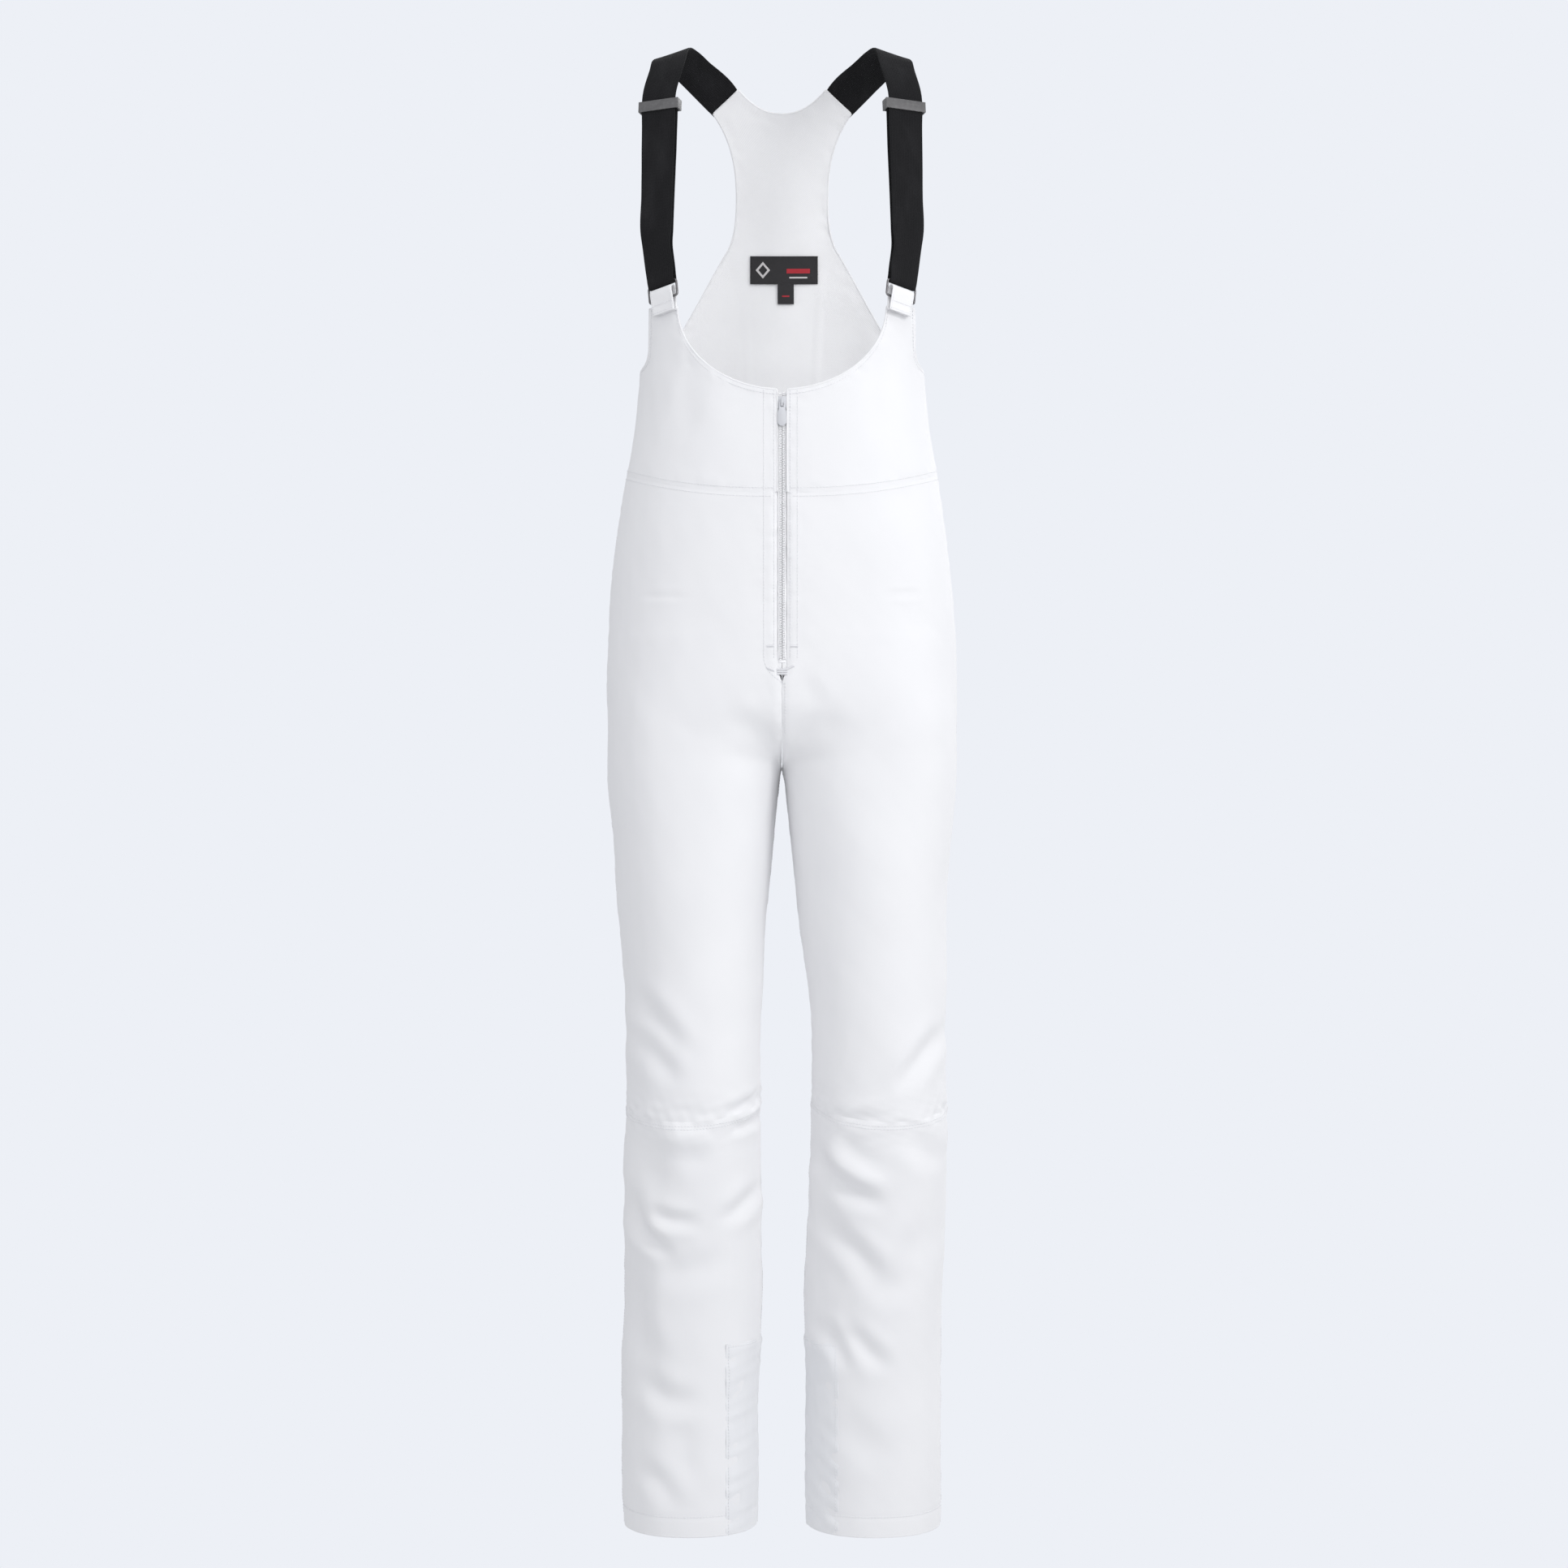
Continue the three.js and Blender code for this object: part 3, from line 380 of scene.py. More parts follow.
def swept(middle: Array, across: Array, out: Array, section: Array, closed: bool = False) -> Shape:
    """A solid swept along a line.

    Args:
        middle: places along the line.
        across: direction of the section's first coordinate at each place.
        out: direction of its second coordinate.
        section: outline at each place, as (place, corner, 2), or one outline for all.
        closed: whether the line returns to its start.

    Returns:
        The closed solid, faces outward.
    """
    if section.ndim == 2:
        section = np.broadcast_to(section, (len(middle), *section.shape))
    points = (
        middle[:, None]
        + section[..., :1] * across[:, None]
        + section[..., 1:] * out[:, None]
    )
    shape = grid_shape(points, None, around=True)
    count, corners = points.shape[:2]
    if closed:
        for k in range(corners):
            after = (k + 1) % corners
            last = (count - 1) * corners
            shape.faces.append((last + k, last + after, after, k))
    else:
        shape.faces.append(tuple(range(corners))[::-1])
        shape.faces.append(tuple((count - 1) * corners + k for k in range(corners)))
    signed = 0.0
    for face in shape.faces:
        corner = shape.points[list(face)]
        for k in range(1, len(face) - 1):
            signed += float(np.dot(corner[0], np.cross(corner[k], corner[k + 1])))
    if signed < 0:
        shape.faces = [face[::-1] for face in shape.faces]
    return shape


def tube(path: Array, radius: float, sides: int = 8, closed: bool = False) -> Shape:
    """A round cord along a path."""
    ahead = np.roll(path, -1, 0) - np.roll(path, 1, 0)
    if not closed:
        ahead[0], ahead[-1] = path[1] - path[0], path[-1] - path[-2]
    ahead = unit(ahead)
    across = np.empty_like(path)
    guide = np.array([0.3, 0.2, 1.0]) if abs(ahead[0][2]) < 0.8 else np.array([1.0, 0.2, 0.1])
    for i, way in enumerate(ahead):
        guide = guide - way * np.dot(guide, way)
        guide = guide / np.linalg.norm(guide)
        across[i] = guide
    turn = np.linspace(0, 2 * math.pi, sides, endpoint=False)
    section = radius * np.stack([np.cos(turn), np.sin(turn)], 1)
    return swept(path, across, np.cross(ahead, across), section, closed)


def strip_cloth(section: Array, along: Array) -> Array:
    """Cloth coordinates of a swept strip: across its section, and along its way."""
    across, down = np.meshgrid(section[:, 0], along)
    return np.stack([across, down], -1).reshape(-1, 2)


def extents(grid: Array) -> tuple[float, float]:
    """Longest way across a grid's rows, and longest way down its columns."""
    across = spans(grid, 1).sum(1).max()
    return across, spans(grid, 0).sum(0).max()


def strip_section(width: float, thick: float, columns: int = 16) -> Array:
    """Outline of a flat strip with rounded edges."""
    flat = np.linspace(-1, 1, columns) * (width - thick) / 2
    turn = np.linspace(-math.pi / 2, math.pi / 2, 5)[1:-1]
    right = np.stack([(width - thick) / 2 + thick / 2 * np.cos(turn), thick / 2 * np.sin(turn)], 1)
    low = np.stack([flat, np.full(columns, -thick / 2)], 1)
    return np.concatenate([low, right, -low, -right])


def outline_sheet(outline: Array, step: float, place: Callable[[Array], Array]) -> Shape:
    """A sheet inside an outline drawn on unrolled cloth.

    Args:
        outline: corners of the outline, once round.
        step: distance between the points inside it.
        place: turns cloth coordinates into places.

    Returns:
        The sheet.
    """
    low, high = outline.min(0), outline.max(0)
    rise = step * 0.866
    inside = [np.empty((0, 2))]
    for j, v in enumerate(np.arange(low[1] + rise, high[1], rise)):
        u = np.arange(low[0] + (j % 2) * step / 2, high[0], step)
        inside.append(np.stack([u, np.full(len(u), v)], 1))
    grid = np.concatenate(inside)
    odd = np.zeros(len(grid), bool)
    after = np.roll(outline, -1, 0)
    for (ax, ay), (bx, by) in zip(outline, after):
        if ay != by:
            crosses = ((ay > grid[:, 1]) != (by > grid[:, 1])) & (
                grid[:, 0] < (bx - ax) * (grid[:, 1] - ay) / (by - ay) + ax
            )
            odd ^= crosses
    grid = grid[odd]
    grid = grid[edge_distance(grid, outline) > 0.62 * step]
    flat = [Vector(p) for p in np.concatenate([outline, grid])]
    loop = list(range(len(outline)))
    made = delaunay_2d_cdt(flat, [], [loop], 1, 1e-5)
    cloth = np.array([tuple(v) for v in made[0]])
    points = place(cloth)
    faces = [tuple(f) for f in made[2]]
    corner = points[np.array(faces)]
    middle = corner.mean(1)
    normal = np.cross(corner[:, 1] - corner[:, 0], corner[:, 2] - corner[:, 0])
    if np.sum(normal[:, :2] * middle[:, :2]) < 0:
        faces = [face[::-1] for face in faces]
    return Shape(points, faces, cloth)


def edge_distance(points: Array, outline: Array) -> Array:
    """Distance of flat points from a closed outline."""
    nearest = np.full(len(points), 1e9)
    for a, b in zip(outline, np.roll(outline, -1, 0)):
        way = b - a
        t = np.clip((points - a) @ way / max(way @ way, 1e-9), 0, 1)
        gap = np.linalg.norm(points - a - t[:, None] * way, axis=1)
        nearest = np.minimum(nearest, gap)
    return nearest


def walled(piece: Piece, thick: float, inner_slot: int = 0, offset: float = -1.0) -> None:
    """Gives a sheet its thickness, inward, with its own finish inside, and keeps its rim crisp."""
    mesh = piece.data
    edges = np.empty(len(mesh.loops), np.int32)
    mesh.loops.foreach_get("edge_index", edges)
    rim = np.bincount(edges, minlength=len(mesh.edges)) == 1
    mesh.attributes.new("sharp_edge", "BOOLEAN", "EDGE").data.foreach_set("value", rim)
    wall = piece.modifiers.new("wall", "SOLIDIFY")
    wall.thickness = thick * MM
    wall.offset = offset
    wall.material_offset = inner_slot


def area_of(piece: Piece) -> float:
    """Area of a piece's own mesh, in square metres."""
    return sum(face.area for face in piece.data.polygons)


def placed(piece: Piece, body: str, slot: str, *nodes: str) -> None:
    """Makes a piece ride on a body's empty, and hides the CAD nodes that it stands for."""
    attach(piece, body)
    if nodes:
        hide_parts(*nodes)


def declare(
    piece: Piece, width: float, length: float, held: Held, area: float | None = None
) -> None:
    """Works out the size of the flat cut that a piece came from, and caps its area at the
    rectangle's; none of it is kept.

    Args:
        piece: the sheet; not used.
        width: of the flat cut, in millimetres.
        length: of the flat cut, in millimetres.
        held: how it is held; not used.
        area: of the cut in square metres, where it is no rectangle.
    """
    if area is not None:
        area = min(area, width * length * MM * MM)
    width * MM
    length * MM


def softened(node: str, name: str, width: float, material: Material) -> Piece:
    """A copy of a CAD node with its edges rounded.

    Args:
        node: name of the CAD node.
        name: name of the new piece.
        width: of the rounding, in millimetres.
        material: its finish.

    Returns:
        The new piece, which stands for the node.
    """
    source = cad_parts[node]
    mesh = source.data.copy()
    mesh.transform(source.matrix_world)
    form = bmesh.new()
    form.from_mesh(mesh)
    bmesh.ops.remove_doubles(form, verts=form.verts, dist=1e-5)
    bmesh.ops.dissolve_limit(form, angle_limit=0.03, verts=form.verts, edges=form.edges)
    form.to_mesh(mesh)
    form.free()
    mesh.materials.clear()
    piece = bpy.data.objects.new(name, mesh)
    bpy.context.scene.collection.objects.link(piece)
    bevel = piece.modifiers.new("bevel", "BEVEL")
    bevel.width = width * MM
    bevel.segments = 3
    bevel.limit_method = "ANGLE"
    bevel.angle_limit = math.radians(28)
    baked(piece, name, material)
    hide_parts(node)
    return piece


def baked(piece: Piece, name: str, *materials: Material) -> Piece:
    """Turns a piece's modifiers into plain mesh."""
    graph = bpy.context.evaluated_depsgraph_get()
    mesh = bpy.data.meshes.new_from_object(piece.evaluated_get(graph), depsgraph=graph)
    piece.modifiers.clear()
    piece.data = mesh
    mesh.name = name
    if materials:
        mesh.materials.clear()
        for material in materials:
            mesh.materials.append(material)
    mesh.polygons.foreach_set("use_smooth", [True] * len(mesh.polygons))
    return piece


def panel_tree(*pieces: Piece) -> BVHTree:
    """A search tree of the outside of some pieces, for laying lines on them."""
    points, faces = [], []
    for piece in pieces:
        shift = len(points)
        points += [v.co.copy() for v in piece.data.vertices]
        faces += [[i + shift for i in f.vertices] for f in piece.data.polygons]
    return BVHTree.FromPolygons(points, faces)


def laid(tree: BVHTree, line: Array, face: Face, lift: float = 0.25) -> Array:
    """Lays a line of (x, z) places on the front or the back of the garment.

    Args:
        tree: search tree of the cloth.
        line: rows of x and z, in millimetres.
        face: the side that it is laid on.
        lift: how far it stands off the cloth.

    Returns:
        Places in millimetres; a place that misses the cloth is left out.
    """
    found = []
    for x, z in line:
        start = Vector((x * MM, face.value * 0.5, z * MM))
        place, normal, _, _ = tree.ray_cast(start, Vector((0, -face.value, 0)))
        if place is not None:
            side = normal if normal.y * face.value > 0 else -normal
            found.append(np.array(place) / MM + np.array(side) * lift)
    return np.array(found)


# --- finishes


class Signal:
    """A value inside a material, with arithmetic that makes the nodes."""

    def __init__(self, bench: "Bench", socket: bpy.types.NodeSocket) -> None:
        """Keeps the socket that the value comes from."""
        self.bench = bench
        self.socket = socket

    def math(self, operation: str, *values: "Signal | float") -> "Signal":
        """A Math node on values in their order."""
        node = self.bench.node("ShaderNodeMath", dict(enumerate(values)), operation=operation)
        return Signal(self.bench, node.outputs[0])

    def __add__(self, other: "Signal | float") -> "Signal":
        """Sum."""
        return self.math("ADD", self, other)

    __radd__ = __add__

    def __sub__(self, other: "Signal | float") -> "Signal":
        """Difference."""
        return self.math("SUBTRACT", self, other)

    def __rsub__(self, other: float) -> "Signal":
        """Difference from a number."""
        return self.math("SUBTRACT", other, self)

    def __mul__(self, other: "Signal | float") -> "Signal":
        """Product."""
        return self.math("MULTIPLY", self, other)

    def __pow__(self, other: "Signal | float") -> "Signal":
        """Power."""
        return self.math("POWER", self, other)

    def __abs__(self) -> "Signal":
        """Size without sign."""
        return self.math("ABSOLUTE", self)

    def sine(self) -> "Signal":
        """Sine of an angle in radians."""
        return self.math("SINE", self)

    def above(self, other: "Signal | float") -> "Signal":
        """1 where this value is the greater."""
        return self.math("GREATER_THAN", self, other)

    def risen(self, low: float, high: float) -> "Signal":
        """Rises smoothly from 0 at low to 1 at high."""
        node = self.bench.node(
            "ShaderNodeMapRange", {0: self, 1: low, 2: high}, interpolation_type="SMOOTHSTEP"
        )
        return Signal(self.bench, node.outputs[0])


class Bench:
    """Builds one material round its shader node."""

    def __init__(self, name: str, colour: Triple, **constants: float) -> None:
        """Starts a material.

        Args:
            name: of the material.
            colour: its plain colour, linear.
            constants: values set on the shader's own sockets, spaces written as underscores.
        """
        self.material = bpy.data.materials.new(name)
        self.material.use_nodes = True
        self.tree = self.material.node_tree
        self.shader = next(n for n in self.tree.nodes if n.type == "BSDF_PRINCIPLED")
        self.colour = colour
        self.shader.inputs["Base Color"].default_value = (*colour, 1)
        for word, value in constants.items():
            self.shader.inputs[word.replace("_", " ")].default_value = value

    def node(self, kind: str, inputs: dict | None = None, **settings: object) -> bpy.types.Node:
        """Makes a node.

        Args:
            kind: its Blender type.
            inputs: numbers, tuples or signals by socket name or number.
            settings: its other properties.

        Returns:
            The node.
        """
        made = self.tree.nodes.new(kind)
        for word, value in settings.items():
            setattr(made, word, value)
        for key, value in (inputs or {}).items():
            if isinstance(value, Signal):
                self.tree.links.new(value.socket, made.inputs[key])
            else:
                made.inputs[key].default_value = value
        return made

    def place(self, scale: Triple = (1.0, 1.0, 1.0)) -> Signal:
        """Object coordinates, scaled along each axis."""
        source = self.node("ShaderNodeTexCoord")
        mapping = self.node(
            "ShaderNodeMapping", {"Vector": Signal(self, source.outputs["Object"]), "Scale": scale}
        )
        return Signal(self, mapping.outputs[0])

    def cloth(self) -> tuple[Signal, Signal]:
        """The cloth's own coordinates in metres, across and along."""
        source = self.node("ShaderNodeUVMap", uv_map="Cloth")
        parts = self.node("ShaderNodeSeparateXYZ", {0: Signal(self, source.outputs[0])})
        return Signal(self, parts.outputs[0]), Signal(self, parts.outputs[1])

    def noise(self, where: Signal, scale: float, detail: float = 2.0) -> Signal:
        """Soft random variation from 0 to 1."""
        made = self.node(
            "ShaderNodeTexNoise",
            {"Vector": where, "Scale": scale, "Detail": detail, "Roughness": 0.55},
        )
        return Signal(self, made.outputs[0])

    def tint(self, share: Signal, other: Triple) -> None:
        """Mixes the plain colour towards another one by a share.

        Args:
            share: 0 keeps the plain colour or what an earlier tint made of it.
            other: the colour at 1, linear.
        """
        mix = self.node("ShaderNodeMix", data_type="RGBA")
        target = self.shader.inputs["Base Color"]
        factor = next(s for s in mix.inputs if s.name == "Factor" and s.type == "VALUE")
        a, b = [s for s in mix.inputs if s.type == "RGBA"]
        self.tree.links.new(share.socket, factor)
        if target.is_linked:
            self.tree.links.new(target.links[0].from_socket, a)
        else:
            a.default_value = (*self.colour, 1)
        b.default_value = (*other, 1)
        self.tree.links.new(next(s for s in mix.outputs if s.type == "RGBA"), target)

    def rough(self, value: Signal) -> None:
        """Drives the roughness."""
        self.tree.links.new(value.socket, self.shader.inputs["Roughness"])

    def bump(self, height: Signal, deep: float, strength: float = 1.0) -> None:
        """Raises the surface by height, in parts of a depth in metres."""
        inputs = {"Height": height, "Distance": deep, "Strength": strength}
        target = self.shader.inputs["Normal"]
        if target.is_linked:
            inputs["Normal"] = Signal(self, target.links[0].from_socket)
        made = self.node("ShaderNodeBump", inputs)
        self.tree.links.new(made.outputs[0], target)


@dataclass(frozen=True)
class Woven:
    """A woven, brushed or knitted cloth."""

    name: str  # of the finish
    colour: Triple  # of clean cloth, linear
    shade: Triple  # colour towards which it drifts
    pitch: float = 0.0011  # between two diagonal ribs of the twill, in metres
    relief: float = 0.00005  # height of the weave, in metres
    nap: float = 0.00003  # height of the brushed fibres, in metres
    roughness: float = 0.82  # middle value
    sheen: float = 0.25  # share of the soft edge light
    drift: float = 0.5  # greatest share of the drift colour

    def build(self) -> Material:
        """Makes the material."""
        bench = Bench(
            self.name,
            self.colour,
            Sheen_Weight=self.sheen,
            Sheen_Roughness=0.45,
            Specular_IOR_Level=0.28,
            Roughness=self.roughness,
        )
        across, along = bench.cloth()
        rib = ((across + along) * (2 * math.pi / self.pitch)).sine()
        pick = ((across - along) * (2 * math.pi / (self.pitch * 2.1))).sine()
        weave = rib * 0.6 + pick * rib * 0.4
        broad = bench.noise(bench.place((1.0, 1.0, 0.55)), 9.0, 3.0)
        fine = bench.noise(bench.place(), 900.0, 2.0)
        middle = bench.noise(bench.place(), 160.0, 3.0)
        bench.tint(broad.risen(0.35, 0.75) * self.drift, self.shade)
        bench.tint((1.0 - fine.risen(0.3, 0.6)) * 0.12, self.shade)
        bench.rough(self.roughness + (broad - 0.5) * 0.1 + (fine - 0.5) * 0.08)
        bench.bump(middle, self.nap * 4, 0.5)
        bench.bump(fine, self.nap)
        bench.bump(weave, self.relief)
        return bench.material


@dataclass(frozen=True)
class Webbing:
    """Ribbed elastic webbing."""

    name: str  # of the finish
    colour: Triple  # of the yarn, linear
    worn: Triple  # colour of the rubbed yarn
    cord: float = 0.0019  # width of one lengthwise cord, in metres
    pick: float = 0.0012  # length of one crosswise stitch, in metres

    def build(self) -> Material:
        """Makes the material."""
        bench = Bench(
            self.name, self.colour, Sheen_Weight=0.04, Sheen_Roughness=0.5,
            Specular_IOR_Level=0.12, Roughness=0.78,
        )
        across, along = bench.cloth()
        cords = abs((across * (math.pi / self.cord)).sine()) ** 0.6
        picks = (along * (2 * math.pi / self.pick) + across * 900.0).sine()
        fuzz = bench.noise(bench.place(), 1100.0, 2.0)
        patches = bench.noise(bench.place((1.0, 1.0, 0.3)), 38.0, 3.0)
        bench.tint(patches.risen(0.45, 0.8) * 0.55, self.worn)
        bench.tint(cords.above(0.9) * fuzz * 0.35, self.worn)
        bench.rough(0.7 + fuzz * 0.18)
        bench.bump(cords, 0.00032)
        bench.bump(picks * cords, 0.00009)
        bench.bump(fuzz, 0.00004)
        return bench.material


@dataclass(frozen=True)
class Metal:
    """Painted or plated metal with rubbed edges."""

    name: str  # of the finish
    colour: Triple  # linear
    worn: Triple  # colour where it is rubbed
    metallic: float = 0.85  # share of bare metal
    roughness: float = 0.38  # middle value

    def build(self) -> Material:
        """Makes the material."""
        bench = Bench(
            self.name, self.colour, Metallic=self.metallic, Roughness=self.roughness,
            Coat_Weight=0.12, Coat_Roughness=0.3,
        )
        brushed = bench.noise(bench.place((4.0, 1.0, 0.2)), 700.0, 3.0)
        spots = bench.noise(bench.place(), 220.0, 4.0)
        geometry = bench.node("ShaderNodeNewGeometry")
        edge = Signal(bench, geometry.outputs["Pointiness"]).risen(0.5, 0.58)
        bench.tint(edge * spots * 0.8, self.worn)
        bench.tint(spots.risen(0.55, 0.75) * 0.25, self.worn)
        bench.rough(self.roughness + (brushed - 0.5) * 0.22 + edge * -0.06)
        bench.bump(brushed, 0.00003)
        bench.bump(spots, 0.00004)
        return bench.material


@dataclass(frozen=True)
class Moulded:
    """Moulded or extruded plastic and sewing thread."""

    name: str  # of the finish
    colour: Triple  # linear
    shade: Triple  # colour towards which it drifts
    roughness: float = 0.45  # middle value
    grain: float = 0.00003  # height of its fine grain, in metres

    def build(self) -> Material:
        """Makes the material."""
        bench = Bench(self.name, self.colour, Roughness=self.roughness, Specular_IOR_Level=0.45)
        fine = bench.noise(bench.place(), 1400.0, 2.0)
        broad = bench.noise(bench.place(), 60.0, 2.0)
        bench.tint(broad.risen(0.4, 0.7) * 0.5, self.shade)
        bench.rough(self.roughness + (fine - 0.5) * 0.2)
        bench.bump(fine, self.grain)
        return bench.material


@dataclass(frozen=True)
class Satin:
    """Close-woven label ribbon."""

    name: str  # of the finish
    colour: Triple  # linear
    shade: Triple  # colour of its lighter threads
    thread: float = 0.0005  # distance between two threads, in metres

    def build(self) -> Material:
        """Makes the material."""
        bench = Bench(
            self.name, self.colour, Roughness=0.55, Sheen_Weight=0.15, Specular_IOR_Level=0.4
        )
        across, along = bench.cloth()
        warp = (across * (2 * math.pi / self.thread)).sine()
        weft = (along * (2 * math.pi / (self.thread * 1.4))).sine()
        fuzz = bench.noise(bench.place(), 1500.0, 2.0)
        bench.tint(fuzz.risen(0.5, 0.8) * 0.4, self.shade)
        bench.rough(0.5 + fuzz * 0.15)
        bench.bump(warp * 0.5 + weft * 0.5, 0.00005)
        return bench.material


@dataclass
class Finishes:
    """Every finish on the garment."""

    softshell: Woven = Woven(
        "softshell_white", (0.875, 0.875, 0.885), (0.825, 0.825, 0.845), drift=0.35
    )
    guard: Woven = Woven(
        "scuff_cloth_white", (0.86, 0.865, 0.88), (0.81, 0.82, 0.845), pitch=0.0016, relief=0.00009,
        roughness=0.62, sheen=0.1,
    )
    lining: Woven = Woven(
        "lining_fleece_white", (0.93, 0.93, 0.94), (0.88, 0.88, 0.89), pitch=0.0023, relief=0.00005,
        nap=0.00004, roughness=0.93, sheen=0.15,
    )
    gaiter: Woven = Woven(
        "gaiter_nylon_pale", (0.70, 0.71, 0.74), (0.58, 0.6, 0.64), pitch=0.0008,
        roughness=0.5, sheen=0.05,
    )
    tape: Woven = Woven(
        "zip_tape_white", (0.94, 0.94, 0.95), (0.90, 0.90, 0.91), pitch=0.0014, relief=0.00012
    )
    webbing: Webbing = Webbing(
        "elastic_webbing_black", (0.0085, 0.0085, 0.0095), (0.022, 0.022, 0.024)
    )
    ring: Metal = Metal("wire_ring_gunmetal", (0.13, 0.125, 0.13), (0.42, 0.41, 0.42))
    adjuster: Metal = Metal(
        "adjuster_grey", (0.075, 0.072, 0.075), (0.2, 0.2, 0.2), metallic=0.3, roughness=0.55
    )
    slider: Metal = Metal(
        "slider_enamel_pale", (0.62, 0.63, 0.66), (0.46, 0.46, 0.48), metallic=0.1, roughness=0.35
    )
    coil: Moulded = Moulded("zip_coil_pale", (0.94, 0.94, 0.95), (0.90, 0.90, 0.91))
    thread: Moulded = Moulded("thread_white", (0.82, 0.82, 0.84), (0.76, 0.77, 0.79), roughness=0.6)
    dark_thread: Moulded = Moulded(
        "thread_black", (0.02, 0.02, 0.022), (0.05, 0.05, 0.05), roughness=0.65
    )
    label: Satin = Satin("label_satin_black", (0.012, 0.011, 0.013), (0.04, 0.038, 0.042))
    label_pale: Satin = Satin("label_thread_pale", (0.62, 0.6, 0.6), (0.45, 0.44, 0.45))
    label_red: Satin = Satin("label_thread_red", (0.42, 0.012, 0.025), (0.3, 0.01, 0.02))
    made: dict[str, Material] = field(default_factory=dict)

    def get(self, word: str) -> Material:
        """The finish of that name, made once."""
        if word not in self.made:
            self.made[word] = getattr(self, word).build()
        return self.made[word]


# --- repeated details


@dataclass
class RepeatTree:
    """Geometry Nodes group that sets small rounded bars along a line: stitches or zip teeth."""

    name: str = "bars_along_line"
    sockets: dict[str, str] = field(default_factory=dict)
    group: bpy.types.NodeTree | None = None

    def build(self) -> None:
        """Makes the node group and notes its inputs' identifiers."""
        tree = bpy.data.node_groups.new(self.name, "GeometryNodeTree")
        face = tree.interface
        face.new_socket("Line", in_out="INPUT", socket_type="NodeSocketGeometry")
        face.new_socket("Bars", in_out="OUTPUT", socket_type="NodeSocketGeometry")
        kinds = dict.fromkeys(("Pitch", "Length", "Width", "Height"), "Float")
        for word, kind in {**kinds, "Across": "Vector", "Finish": "Material"}.items():
            made = face.new_socket(word, in_out="INPUT", socket_type=f"NodeSocket{kind}")
            self.sockets[word] = made.identifier
        node = {
            word: tree.nodes.new(kind)
            for word, kind in (
                ("start", "NodeGroupInput"),
                ("end", "NodeGroupOutput"),
                ("curve", "GeometryNodeMeshToCurve"),
                ("even", "GeometryNodeResampleCurve"),
                ("bar", "GeometryNodeMeshUVSphere"),
                ("tangent", "GeometryNodeInputTangent"),
                ("turn", "FunctionNodeAlignRotationToVector"),
                ("roll", "FunctionNodeAlignRotationToVector"),
                ("size", "ShaderNodeCombineXYZ"),
                ("put", "GeometryNodeInstanceOnPoints"),
                ("real", "GeometryNodeRealizeInstances"),
                ("dress", "GeometryNodeSetMaterial"),
            )
        }
        node["even"].mode = "LENGTH"
        for word, value in (("Segments", 6), ("Rings", 4), ("Radius", 0.5)):
            node["bar"].inputs[word].default_value = value
        node["turn"].axis = "X"
        node["roll"].axis, node["roll"].pivot_axis = "Y", "X"
        for source, outlet, target, inlet in (
            ("start", "Line", "curve", 0),
            ("curve", 0, "even", "Curve"),
            ("start", "Pitch", "even", "Length"),
            ("even", 0, "put", "Points"),
            ("bar", 0, "put", "Instance"),
            ("tangent", 0, "turn", "Vector"),
            ("turn", 0, "roll", "Rotation"),
            ("start", "Across", "roll", "Vector"),
            ("roll", 0, "put", "Rotation"),
            ("start", "Length", "size", 0),
            ("start", "Width", "size", 1),
            ("start", "Height", "size", 2),
            ("size", 0, "put", "Scale"),
            ("put", 0, "real", 0),
            ("real", 0, "dress", "Geometry"),
            ("start", "Finish", "dress", "Material"),
            ("dress", 0, "end", "Bars"),
        ):
            tree.links.new(node[source].outputs[outlet], node[target].inputs[inlet])
        self.group = tree


@dataclass(frozen=True)
class Bars:
    """Sizes of what is repeated along a line, in millimetres."""

    pitch: float = 3.3  # from one bar to the next
    length: float = 2.7  # along the line
    width: float = 0.75  # across it
    height: float = 0.6  # out of the cloth
    across: Triple = (1.0, 0.0, 0.0)  # direction of the width

    def along(self, tree: RepeatTree, name: str, lines: Sequence[Array], finish: Material) -> Piece:
        """Sets bars along lines.

        Args:
            tree: the node group that repeats them.
            name: of the piece.
            lines: places in millimetres along each line.
            finish: material of the bars.

        Returns:
            The piece, as plain mesh.
        """
        points, edges = [], []
        for line in lines:
            if len(line) < 2:
                continue
            shift = len(points)
            points += (np.asarray(line) * MM).tolist()
            edges += [(shift + i, shift + i + 1) for i in range(len(line) - 1)]
        mesh = bpy.data.meshes.new(name)
        mesh.from_pydata(points, edges, [])
        piece = bpy.data.objects.new(name, mesh)
        bpy.context.scene.collection.objects.link(piece)
        repeat = piece.modifiers.new("repeat", "NODES")
        repeat.node_group = tree.group
        for word in ("pitch", "length", "width", "height"):
            repeat[tree.sockets[word.title()]] = getattr(self, word) * MM
        repeat[tree.sockets["Across"]] = self.across
        repeat[tree.sockets["Finish"]] = finish
        return baked(piece, name, finish)


@dataclass
class Workroom:
    """The finishes and the repeating node group, and how pieces are made with them."""

    finishes: Finishes = field(default_factory=Finishes)
    tree: RepeatTree = field(default_factory=RepeatTree)

    def make(self, shape: Shape, name: str, *words: str) -> Piece:
        """A shape's mesh object in the finishes of those names."""
        return shape.build(name, *(self.finishes.get(word) for word in words))

    def sew(
        self, name: str, lines: Sequence[Array], finish: str = "thread", bars: Bars = Bars()
    ) -> Piece:
        """Bars along lines, in the finish of that name."""
        return bars.along(self.tree, name, lines, self.finishes.get(finish))


# --- the body of the garment


